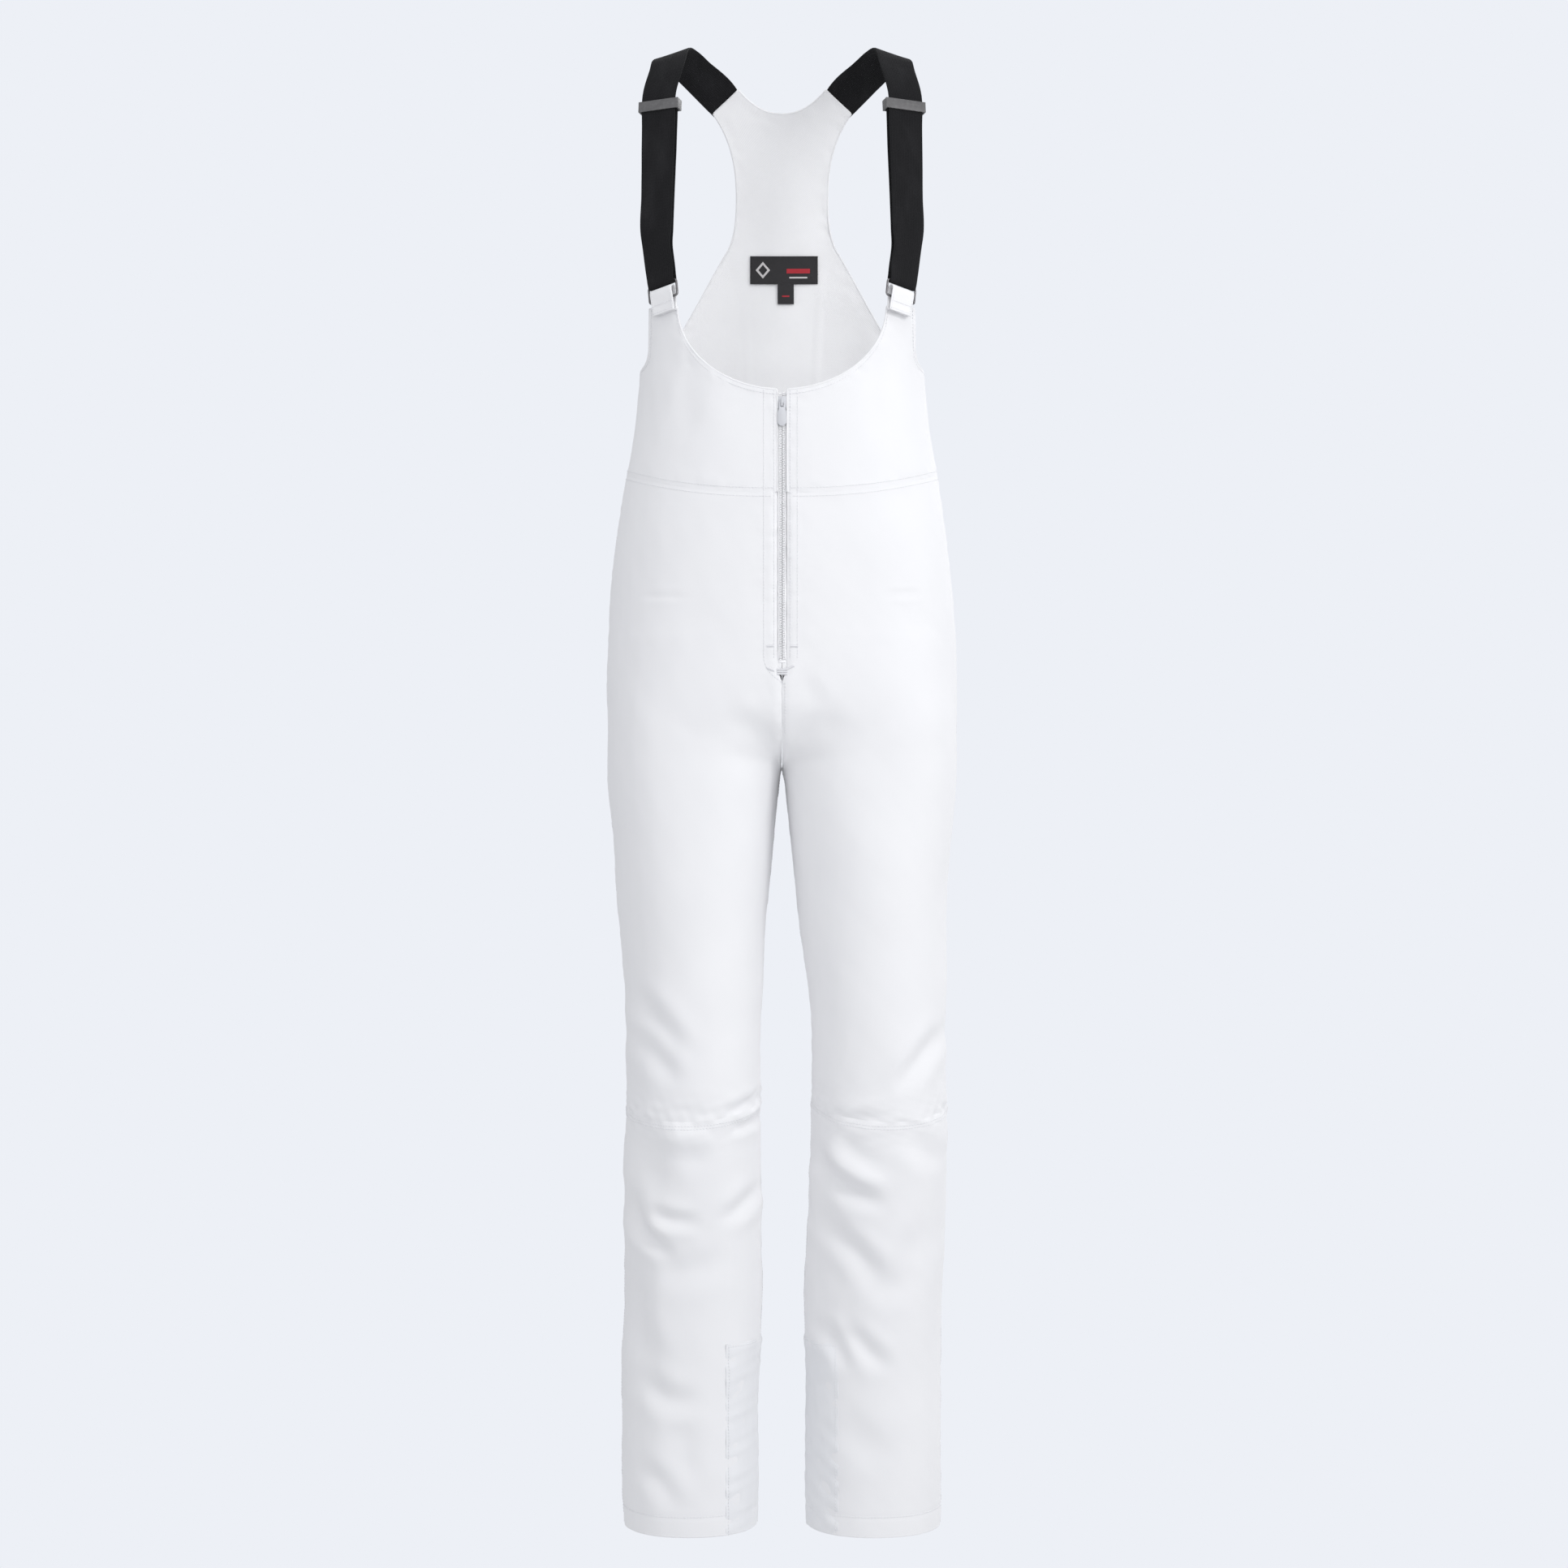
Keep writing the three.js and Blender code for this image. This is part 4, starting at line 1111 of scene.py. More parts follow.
@dataclass(frozen=True)
class Levels:
    """Cross-sections by level, read as smooth curves."""

    # level, then the sizes of the section there, from the top down
    rows: tuple[tuple[float, ...], ...]
    blur: float = 15.0  # how far the curves are smoothed, in millimetres

    @cached_property
    def curves(self) -> tuple[Array, Array]:
        """Close levels and the sizes at each."""
        table = np.array(self.rows, float)[::-1]
        step = 2.0
        levels = np.arange(table[0, 0], table[-1, 0] + step, step)
        sizes = np.stack([np.interp(levels, table[:, 0], c) for c in table[:, 1:].T], 1)
        reach = int(3 * self.blur / step)
        bell = np.exp(-0.5 * (np.arange(-reach, reach + 1) * step / self.blur) ** 2)
        bell /= bell.sum()
        low = 2 * sizes[:1] - sizes[reach:0:-1]
        high = 2 * sizes[-1:] - sizes[-2 : -reach - 2 : -1]
        wide = np.concatenate([low, sizes, high])
        return levels, np.stack([np.convolve(c, bell, "valid") for c in wide.T], 1)

    def at(self, z: Array) -> list[Array]:
        """The sizes at each level."""
        levels, sizes = self.curves
        return [np.interp(z, levels, column) for column in sizes.T]


TORSO = Levels(
    (
        (-10, 118, 60, 30, 2.6),
        (-44, 123, 78, 59, 2.6),
        (-80, 130, 88, 75, 2.7),
        (-150, 140, 99, 89, 2.8),
        (-220, 149, 107, 93, 3.0),
        (-279, 152, 111, 92, 3.0),
        (-340, 146.5, 112, 87.5, 2.8),
        (-400, 153, 110.02, 81.5, 2.6),
        (-460, 164.5, 108.04, 78, 2.5),
        (-520, 174, 106.06, 84, 2.5),
        (-600, 181, 103.42, 102, 2.5),
        (-680, 184, 100.78, 119, 2.5),
        (-716, 180, 91, 108, 2.4),
        (-744, 160, 62, 72, 2.2),
    )
)
LEG = Levels(
    (
        (-620, 92, 86, 6, 92, 2.4),
        (-700, 92, 91.5, 9, 103, 2.5),
        (-760, 92.5, 90.5, 7, 100, 2.4),
        (-820, 93, 84.5, 3, 94, 2.3),
        (-870, 94, 79.5, -1, 89, 2.2),
        (-950, 93, 73.5, -5, 82, 2.1),
        (-1020, 92, 69.5, -9, 78, 2.1),
        (-1110, 92, 70, -10, 76, 2.1),
        (-1190, 92.5, 71, -5, 75, 2.1),
        (-1290, 93.5, 71.5, 4, 75, 2.1),
        (-1394, 96, 71, 8, 73, 2.1),
        (-1496, 96, 71, 8, 72, 2.1),
        (-1544, 96, 70, 8, 71, 2.1),
    )
)


def sway(hand: Hand, z: Array) -> Array:
    """Sideways lean of the left leg at each level."""
    if hand is Hand.RIGHT:
        return np.zeros_like(z)
    return 9.0 * (smoothstep(-z, 870, 1020) - smoothstep(-z, 1130, 1394))


@dataclass(frozen=True)
class TorsoSkin:
    """The outside of the torso as unrolled cloth: turn times a radius, and level."""

    face: Face  # front or back
    radius: float = 150.0  # millimetres of cloth for a radian

    def place(self, cloth: Array, inset: float = 0.0) -> Array:
        """Places of unrolled points, moved inward by an inset."""
        turn = cloth[:, 0] / self.radius
        width, front, back, square = TORSO.at(cloth[:, 1])
        depth = front if self.face is Face.FRONT else back
        out, side = np.cos(turn), np.sin(turn)
        gauge = (np.abs(side) / width) ** square + (np.abs(out) / depth) ** square
        reach = gauge ** (-1 / square) - inset
        return np.stack([reach * side, self.face.value * reach * out, cloth[:, 1]], 1)

    def unrolled(self, x: Array, z: Array) -> Array:
        """Cloth coordinates of places given by x and level; past the side they stop at the seam."""
        width, front, back, square = TORSO.at(z)
        depth = front if self.face is Face.FRONT else back
        share = np.clip(np.abs(x) / width, 0, 1)
        y = depth * (1 - share**square) ** (1 / square)
        edge = SIDE_SEAM_Y * self.face.value
        y = np.where(share > 0.9999, edge, np.maximum(y, edge))
        return np.stack([np.sign(x) * np.arctan2(np.abs(x), y) * self.radius, z], 1)

    def unrolled_points(self, points: Array) -> Array:
        """Cloth coordinates of places on the garment."""
        turn = np.arctan2(np.abs(points[:, 0]), self.face.value * points[:, 1])
        return np.stack([np.sign(points[:, 0]) * turn * self.radius, points[:, 2]], 1)


@dataclass(frozen=True)
class BodyForm:
    """The whole lower garment as one smooth solid: torso and one leg, joined softly."""

    reach: float = 236.0  # farthest surface from the middle of a leg
    march: float = 4.0  # step of the first search for the surface

    def distance(self, x: Array, y: Array, z: Array) -> Array:
        """Roughly how far each place is outside the garment."""
        width, front, back, square = TORSO.at(z)
        depth = np.where(y < 0, front, back)
        gauge = ((np.abs(x) / width) ** square + (np.abs(y) / depth) ** square) ** (1 / square)
        torso = np.hypot(x, y) * (1 - 1 / np.maximum(gauge, 1e-9))
        torso = -smooth_min(-torso, z - CROTCH_Z, np.full(z.shape, 34.0))
        middle, half_width, y0, half_depth, n = LEG.at(z)
        dx, dy = x - middle, y - y0
        gauge = ((np.abs(dx) / half_width) ** n + (np.abs(dy) / half_depth) ** n) ** (1 / n)
        leg = np.hypot(dx, dy) * (1 - 1 / np.maximum(gauge, 1e-9))
        leg = leg + np.maximum(z + 620, 0) * 0.35
        soft = 3 + 20 * (1 - smoothstep(np.abs(x) / width, 0.5, 0.95))
        return smooth_min(torso, leg, soft)

    def surface(self, start: Array, way: Array) -> Array:
        """How far along each line the garment's surface lies.

        Args:
            start: places inside the garment.
            way: unit directions.

        Returns:
            One distance a line.
        """
        steps = np.arange(0, self.reach, self.march)
        at = start[..., None, :] + steps[:, None] * way[..., None, :]
        outside = self.distance(at[..., 0], at[..., 1], at[..., 2]) > 0
        outside[..., 0] = False
        first = np.argmax(outside, axis=-1)
        high = steps[first]
        low = high - self.march
        for _ in range(12):
            half = (low + high) / 2
            at = start + half[..., None] * way
            out = self.distance(at[..., 0], at[..., 1], at[..., 2]) > 0
            high, low = np.where(out, half, high), np.where(out, low, half)
        return (low + high) / 2

    def half(self, face: Face, levels: Array, columns: int) -> Array:
        """One quarter of the trousers: the left front or the left back.

        Args:
            face: front or back.
            levels: level of each row at the side seam.
            columns: spaces between the side seam and the inner end of a row.

        Returns:
            Points as (row, column, 3), the side seam first.
        """
        sign = face.value
        t = np.linspace(0, 1, 2 * columns + 1)
        middle = LEG.at(levels)[0]
        bend = self.seam_bend(face, levels, t)
        inner = self.inner_ends(face, levels, bend[:, -1])
        turn_in = sign * np.abs(np.arctan2(inner[:, 1] - SIDE_SEAM_Y, inner[:, 0] - middle))
        turn = turn_in[:, None] * t
        z = levels[:, None] + (inner[:, 2] - levels - bend[:, -1])[:, None] * t**1.5 + bend
        start = np.stack(
            [np.broadcast_to(middle[:, None], z.shape), np.full(z.shape, SIDE_SEAM_Y), z], -1
        )
        way = np.stack([np.cos(turn), np.sin(turn), np.zeros(z.shape)], -1)
        points = start + self.surface(start, way)[..., None] * way
        points += (inner - points[:, -1])[:, None] * (t**12)[:, None]
        points[..., 0] = np.maximum(points[..., 0], 0.15)
        rows = []
        for row in points:
            along = distances_along(row)
            wanted = np.linspace(0, along[-1], columns + 1)
            rows.append(np.stack([np.interp(wanted, along, c) for c in row.T], 1))
        return self.eased(np.array(rows), levels)

    def eased(self, grid: Array, levels: Array) -> Array:
        """The grid with its rows evened out round the crotch."""
        calm = grid.copy()
        for _ in range(14):
            calm[1:-1] = (calm[:-2] + 2 * calm[1:-1] + calm[2:]) / 4
        near = hump(levels - CROTCH_Z, 42)[:, None, None]
        calm[..., 0] = np.maximum(calm[..., 0], 0.15)
        return grid + near * (calm - grid)

    def seam_bend(self, face: Face, levels: Array, t: Array) -> Array:
        """How far a row leaves its level near the waist seam and the knee seam."""
        below_waist = WAIST_Z - levels
        from_knee = np.abs(levels - KNEE_SEAM_Z)
        if face is Face.FRONT:
            waist = 5 - 27 * np.sin(t * math.pi / 2) ** 2
            knee = 6 - 34 * np.sin(t * math.pi) ** 1.5 * 0.5 + 9 * t
        else:
            waist = 5 - 6 * np.sin(t * math.pi / 2) ** 2
            knee = 6 + 9 * t
        near_waist = 1 - smoothstep(below_waist, 0, 170)
        near_knee = 1 - smoothstep(from_knee, 0, 140)
        return near_waist[:, None] * waist + near_knee[:, None] * knee

    def inner_ends(self, face: Face, levels: Array, bend: Array) -> Array:
        """Inner end of each row: down the middle, round the crotch, then down the inseam."""
        ends = np.zeros((len(levels), 3))
        floor = self.surface(np.array([[0.15, SIDE_SEAM_Y, SEAT_Z]]), np.array([[0.0, 0.0, -1.0]]))
        crotch_lift = SEAT_Z - float(floor[0]) - CROTCH_Z
        for i, level in enumerate(levels):
            if level > CROTCH_Z:
                fall = np.clip((level - SEAT_Z) / (CROTCH_Z - SEAT_Z), 0, 1) * math.pi / 2
                top = max(level, SEAT_Z) + bend[i]
                slot = 0.15
                if face is Face.FRONT:
                    slot = 0.15 + (ZIP_SLOT - 0.15) * (1 - smoothstep(-level, 642, 654))
                start = np.array([slot, SIDE_SEAM_Y, top])
                way = np.array([0.0, face.value * math.cos(fall), -math.sin(fall)])
            else:
                lifted = level + crotch_lift * float(1 - smoothstep(CROTCH_Z - level, 0, 80))
                middle = LEG.at(np.array([level]))[0][0]
                start = np.array([middle, SIDE_SEAM_Y, lifted + bend[i]])
                way = np.array([-1.0, 0.0, 0.0])
            ends[i] = start + self.surface(start[None], way[None])[0] * way
            ends[i, 0] = max(ends[i, 0], 0.15)
        return ends


# --- trousers

RIGHT_FRONT_CREASES = (
    Crease(((-57, -1107), (-28, -1095)), 5, -2.2),
    Crease(((-53, -1123), (-26, -1117)), 5, -1.8),
    Crease(((-123, -1128), (-96, -1131), (-69, -1131)), 10, 2.6),
    Crease(((-144, -1121), (-136, -1155), (-126, -1188)), 14, -3.2),
    Crease(((-156, -1188), (-144, -1229), (-115, -1250)), 7, -4.0),
    Crease(((-136, -1209), (-110, -1216), (-86, -1217)), 6, -2.5),
    Crease(((-61, -1217), (-40, -1203), (-24, -1184)), 7, -2.8),
    Crease(((-152, -985), (-123, -1018), (-102, -1047)), 9, -2.8),
    Crease(((-148, -1026), (-123, -1055), (-111, -1076)), 9, -2.8),
    Crease(((-154, -1262), (-150, -1329), (-131, -1372)), 12, -3.0),
    Crease(((-144, -1378), (-111, -1403), (-84, -1397)), 10, -2.5),
    Crease(((-148, -1474), (-126, -1488), (-112, -1515)), 9, -2.0),
    Crease(((-60, -1255), (-96, -1268), (-130, -1262)), 12, -1.6),
    Crease(((-104, -1420), (-100, -1455), (-104, -1490)), 13, -1.8),
)
LEFT_FRONT_CREASES = (
    Crease(((63, -1117), (80, -1112), (97, -1109)), 6, -2.0),
    Crease(((39, -1138), (72, -1167), (105, -1180)), 9, 3.0),
    Crease(((36, -1152), (68, -1184), (104, -1198)), 8, -3.0),
    Crease(((34, -1213), (63, -1238), (97, -1271)), 9, -3.0),
    Crease(((167, -1022), (142, -1051), (121, -1080)), 8, -2.8),
    Crease(((39, -1325), (55, -1347), (68, -1370)), 7, -3.0),
    Crease(((63, -1329), (88, -1352), (109, -1370)), 8, -2.5),
    Crease(((33, -1126), (40, -1163), (35, -1196)), 8, -2.5),
    Crease(((80, -1262), (102, -1282), (121, -1296)), 12, -2.0),
    Crease(((130, -1130), (148, -1148), (163, -1163)), 10, -2.0),
    Crease(((150, -1225), (128, -1262), (122, -1300)), 13, -2.0),
    Crease(((60, -1420), (84, -1446), (112, -1462)), 14, -1.6),
)
MIDDLE_FRONT_CREASES = (
    Crease(((18, -664), (30, -678), (39, -693)), 8, -0.7),
    Crease(((-15, -664), (-24, -676), (-32, -688)), 8, -0.5),
    Crease(((-12, -724), (-34, -712), (-60, -706)), 10, -1.0),
    Crease(((13, -724), (36, -713), (62, -706)), 10, -1.0),
    Crease(((140, -575), (112, -577)), 3, -0.4),
    Crease(((-140, -578), (-104, -579)), 3, -0.4),
)
BACK_CREASES = (
    Crease(((30, -1150), (80, -1172), (140, -1160)), 9, -3.2),
    Crease(((40, -1205), (90, -1222), (150, -1200)), 10, -3.0),
    Crease(((150, -1095), (110, -1118), (60, -1110)), 9, -2.4),
    Crease(((34, -1255), (76, -1286), (120, -1290)), 11, -2.4),
    Crease(((150, -1330), (120, -1360), (80, -1366)), 12, -2.0),
    Crease(((36, -775), (70, -800), (120, -806)), 12, -2.6),
    Crease(((30, -815), (62, -846), (104, -858)), 13, -2.0),
    Crease(((60, -1420), (90, -1450), (130, -1458)), 14, -1.6),
)


@dataclass
class Cloth:
    """Cloth simulation that lets a trouser leg settle into soft folds."""

    frames: int = 22  # length of the simulation
    slack: float = 0.075  # share by which the cloth is longer than the leg under it
    cap: float = 8.5  # farthest that a point may move, in millimetres

    def settle(self, tube_grid: Array, loose: Array, pinned: Array) -> Array:
        """Moves a leg's points to where the cloth settles.

        Args:
            tube_grid: rows of points round the leg, in millimetres.
            loose: how slack each row is, 0 to 1.
            pinned: how firmly each row is held, 0 to 1.

        Returns:
            Moves of the points, in millimetres.
        """
        rows, columns = tube_grid.shape[:2]
        piece = grid_shape(tube_grid, None, around=True).build("settling_leg")
        for word, values in (("slack", loose), ("pin", pinned)):
            group = piece.vertex_groups.new(name=word)
            for row, value in enumerate(values):
                if value > 0:
                    first = row * columns
                    group.add(list(range(first, first + columns)), float(value), "REPLACE")
        cloth = piece.modifiers.new("cloth", "CLOTH")
        settings = cloth.settings
        settings.quality = 5
        settings.mass = 0.25
        settings.tension_stiffness = 30
        settings.compression_stiffness = 30
        settings.shear_stiffness = 12
        settings.bending_stiffness = 6
        settings.air_damping = 4
        settings.vertex_group_mass = "pin"
        settings.vertex_group_shrink = "slack"
        settings.shrink_min = 0.0
        settings.shrink_max = -self.slack
        settings.effector_weights.gravity = 0
        cloth.point_cache.frame_start = 1
        cloth.point_cache.frame_end = self.frames
        scene = bpy.context.scene
        for frame_number in range(1, self.frames + 1):
            scene.frame_set(frame_number)
        graph = bpy.context.evaluated_depsgraph_get()
        settled = piece.evaluated_get(graph).data
        moved = np.empty(len(settled.vertices) * 3)
        settled.vertices.foreach_get("co", moved)
        move = moved.reshape(rows, columns, 3) / MM - tube_grid
        bpy.data.objects.remove(piece)
        scene.frame_set(1)
        length = np.linalg.norm(move, axis=-1, keepdims=True)
        return move * (self.cap * np.tanh(length / self.cap) / np.maximum(length, 1e-6))


@dataclass
class Panel:
    """One cut piece of the trousers, kept for what is sewn on it."""

    grid: Array  # rows of points, the side seam first, in millimetres
    normals: Array  # outward directions
    piece: Piece  # the mesh object
    # two bodies, with the piece's start and end places between them; kept, but nothing bends the
    # piece
    bend: tuple[str, str, Triple, Triple]

    def follow(self, other: Piece) -> None:
        """Bakes another piece's placement into its mesh."""
        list(self.bend)
        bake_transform(other)

    def line(self, rows: Array, columns: Array, lift: float = 0.2) -> Array:
        """A line on the cloth through places given by row and column."""
        points = sampled(self.grid, rows, columns)
        return points + lift * sampled(self.normals, rows, columns)


@dataclass
class Trousers:
    """Waist, seat and legs, sewn from a front and a back for each leg above and below the knee."""

    form: BodyForm = field(default_factory=BodyForm)  # the body that the cloth follows
    row_step: float = 5.0  # distance between rows before they are refined
    columns: int = 48  # spaces across a panel before it is refined
    seam_depth: float = 1.15  # how far a seam pulls the cloth in
    seam_width: float = 2.6  # half width of that groove
    sim_top: float = -800.0  # level from which the leg is left to settle
    fold_gain: float = 1.5  # how much deeper the drawn creases are made
    panels: dict[str, Panel] = field(default_factory=dict)

    def levels(self) -> tuple[Array, int]:
        """Levels of all rows at the side seam, and the number of the row at the knee seam."""
        upper = round((WAIST_Z - KNEE_SEAM_Z) / self.row_step)
        lower = round((KNEE_SEAM_Z - HEM_Z) / self.row_step)
        top = np.linspace(WAIST_Z, KNEE_SEAM_Z, upper + 1)
        return np.concatenate([top, np.linspace(KNEE_SEAM_Z, HEM_Z, lower + 1)[1:]]), upper

    def build(self, room: Workroom, simulate: bool) -> None:
        """Makes the eight panels.

        Args:
            room: what every piece is made with.
            simulate: whether the cloth simulation runs.
        """
        levels, knee = self.levels()
        quarters = {face: self.form.half(face, levels, self.columns) for face in Face}
        for hand in Hand:
            grids = self.posed(quarters, hand)
            centre = self.centres(hand, levels)
            for face, grid in grids.items():
                normal = grid_normals(grid, centre)
                grids[face] = grid + normal * self.folds(hand, face, grid)[..., None]
            if simulate:
                self.settle(grids, levels)
            for face, grid in grids.items():
                self.cut(hand, face, refined(grid), np.repeat(centre, 2, 0)[:-1], knee, room)

    def posed(self, quarters: dict[Face, Array], hand: Hand) -> dict[Face, Array]:
        """The quarters of one side of the garment."""
        grids = {}
        for face, quarter in quarters.items():
            grid = quarter.copy()
            grid[..., 0] = hand.value * grid[..., 0] + sway(hand, grid[..., 2])
            grids[face] = grid
        return grids

    def centres(self, hand: Hand, levels: Array) -> Array:
        """A place inside the garment for each row."""
        middle = hand.value * LEG.at(levels)[0] + sway(hand, levels)
        return np.stack([middle, np.full(len(levels), SIDE_SEAM_Y), levels + 10], 1)

    def folds(self, hand: Hand, face: Face, grid: Array) -> Array:
        """How far the drawn creases move each point outward."""
        x, z = grid[..., 0], grid[..., 2]
        if face is Face.BACK:
            creases, x = BACK_CREASES, x * hand.value
        else:
            creases = MIDDLE_FRONT_CREASES + (
                RIGHT_FRONT_CREASES if hand is Hand.RIGHT else LEFT_FRONT_CREASES
            )
        total = self.fold_gain * sum(crease.lift(x, z) for crease in creases)
        side = np.linspace(0, 1, grid.shape[1])
        hold = smoothstep(side, 0, 0.05) * smoothstep(1 - side, 0, 0.05)
        return total * hold

    def settle(self, grids: dict[Face, Array], levels: Array) -> None:
        """Lets a leg's cloth settle, front and back sewn into one tube."""
        first = int(np.argmax(levels < self.sim_top))
        front, back = grids[Face.FRONT][first:], grids[Face.BACK][first:]
        tube_grid = np.concatenate([front, back[:, -2:0:-1]], 1)
        z = levels[first:]
        knee = hump(z + 1165, 120)
        calf = 0.7 * hump(z + 1400, 100)
        thigh = 0.25 * hump(z + 900, 70)
        loose = np.clip(knee + calf + thigh, 0, 1)
        pinned = np.clip(1 - (z[0] - z) / 40, 0, 1) + np.clip(1 - (z - z[-1]) / 18, 0, 1)
        move = Cloth().settle(tube_grid, loose, pinned)
        free = (smoothstep(z[0] - z, 0, 60) * smoothstep(z - z[-1], 0, 26))[:, None, None]
        width = front.shape[1]
        front_share = 0.62  # the drawn creases carry the rest
        grids[Face.FRONT][first:] += front_share * free * move[:, :width]
        back_move = np.concatenate([move[:, :1], move[:, : width - 2 : -1]], 1)
        grids[Face.BACK][first:] += free * back_move

    def cut(
        self, hand: Hand, face: Face, grid: Array, centre: Array, knee: int, room: Workroom
    ) -> None:
        """Cuts one quarter at the knee and makes both panels."""
        normals = grid_normals(grid, centre)
        word = hand.word
        slant = (hand.value * 0.6293, 0.0, -0.7771)  # along the groin
        crotch, knee_top, knee_foot = (
            (0.0, 0.0, z * MM) for z in (CROTCH_Z, KNEE_SEAM_Z, KNEE_END_Z)
        )
        hip = tuple(s + 0.170 * d for s, d in zip(crotch, slant))
        bends = {
            "upper": ("root", f"thigh_{word}", crotch, hip),
            "lower": (f"thigh_{word}", f"shin_{word}", knee_top, knee_foot),
        }
        nodes = {"upper": ("waist", "hip", "thigh"), "lower": ("knee", "shin")}
        split = 2 * knee
        for part, rows in (("upper", slice(0, split + 1)), ("lower", slice(split, None))):
            points, normal = grid[rows].copy(), normals[rows]
            points += normal * self.relief(points, part, hand, face)[..., None]
            name = f"{face.word}_{part}_{word}"
            piece = room.make(grid_shape(points, normal), name, "softshell", "lining")
            area = area_of(piece)
            walled(piece, CLOTH, 1)
            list(bends[part])
            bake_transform(piece)
            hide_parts(*(f"{n}_{face.word}_{word}" for n in nodes[part]))
            declare(piece, *extents(points), Held.HUNG, area)
            self.panels[name] = Panel(points, normal, piece, bends[part])
            LOG.info("%s: %d points", name, len(piece.data.vertices))

    def relief(self, points: Array, part: str, hand: Hand, face: Face) -> Array:
        """Seam grooves, the puckers beside them and the unevenness of the cloth."""
        across = spans(points, 1)
        u = np.concatenate([np.zeros((len(points), 1)), np.cumsum(across, 1)], 1)
        down = spans(points, 0)
        v = np.concatenate([np.zeros((1, points.shape[1])), np.cumsum(down, 0)], 0)
        to_side, to_inner = u, u[:, -1:] - u
        to_top, to_foot = v, v[-1:] - v
        height = np.zeros(u.shape)
        edges = [to_side, to_inner, to_top]
        if part == "upper":
            edges.append(to_foot)
        top_share = 0.2 if part == "upper" else 0.35
        for edge, share in zip(edges, (1.0, 1.0, top_share, 0.35)):
            height -= share * self.seam_depth * hump(edge, self.seam_width)
            height += 0.35 * share * hump(edge - 7.0, 4.0)
        if part == "lower":
            height -= 0.55 * hump(to_foot - 21.0, 1.8)
            height += 0.3 * hump(to_foot - 10.0, 9.0)
        seed = 21 + 7 * hand.value
        at_waist = smoothstep(to_top, 0, 14) if part == "upper" else 1.0
        pucker = Ripple(0.8, 10.0, seed + 1, 0.7).at(points)
        near = np.exp(-to_side / 11) * 0.6 + np.exp(-to_inner / 11) * 0.6
        seam_row = to_top if part == "lower" else to_foot
        near = near + 1.3 * np.exp(-seam_row / 13)
        height += pucker * np.clip(near, 0, 1.3)
        height += Ripple(0.8, 55.0, seed + 2).at(points) * at_waist
        height += Ripple(0.16, 14.0, seed + 3).at(points) * at_waist
        return height


# --- bib

FRONT_SKIN = TorsoSkin(Face.FRONT)
BACK_SKIN = TorsoSkin(Face.BACK)
PRINCESS_LINE = ((44, -205), (38, -300), (36, -380), (38, -446))  # shaping seam of the back


def bezier(points: Sequence[Sequence[float]], count: int = 60) -> Array:
    """Points along a Bezier curve of any degree."""
    t = np.linspace(0, 1, count)[:, None]
    rows = [np.array(p, float) for p in points]
    rows = [np.broadcast_to(p, (count, len(p))) for p in rows]
    while len(rows) > 1:
        rows = [a * (1 - t) + b * t for a, b in zip(rows, rows[1:])]
    return rows[0]


def level_line(x: float, top: float, bottom: float) -> Array:
    """An upright line of (x, z) places."""
    return np.stack([np.full(40, x), np.linspace(top, bottom, 40)], 1)


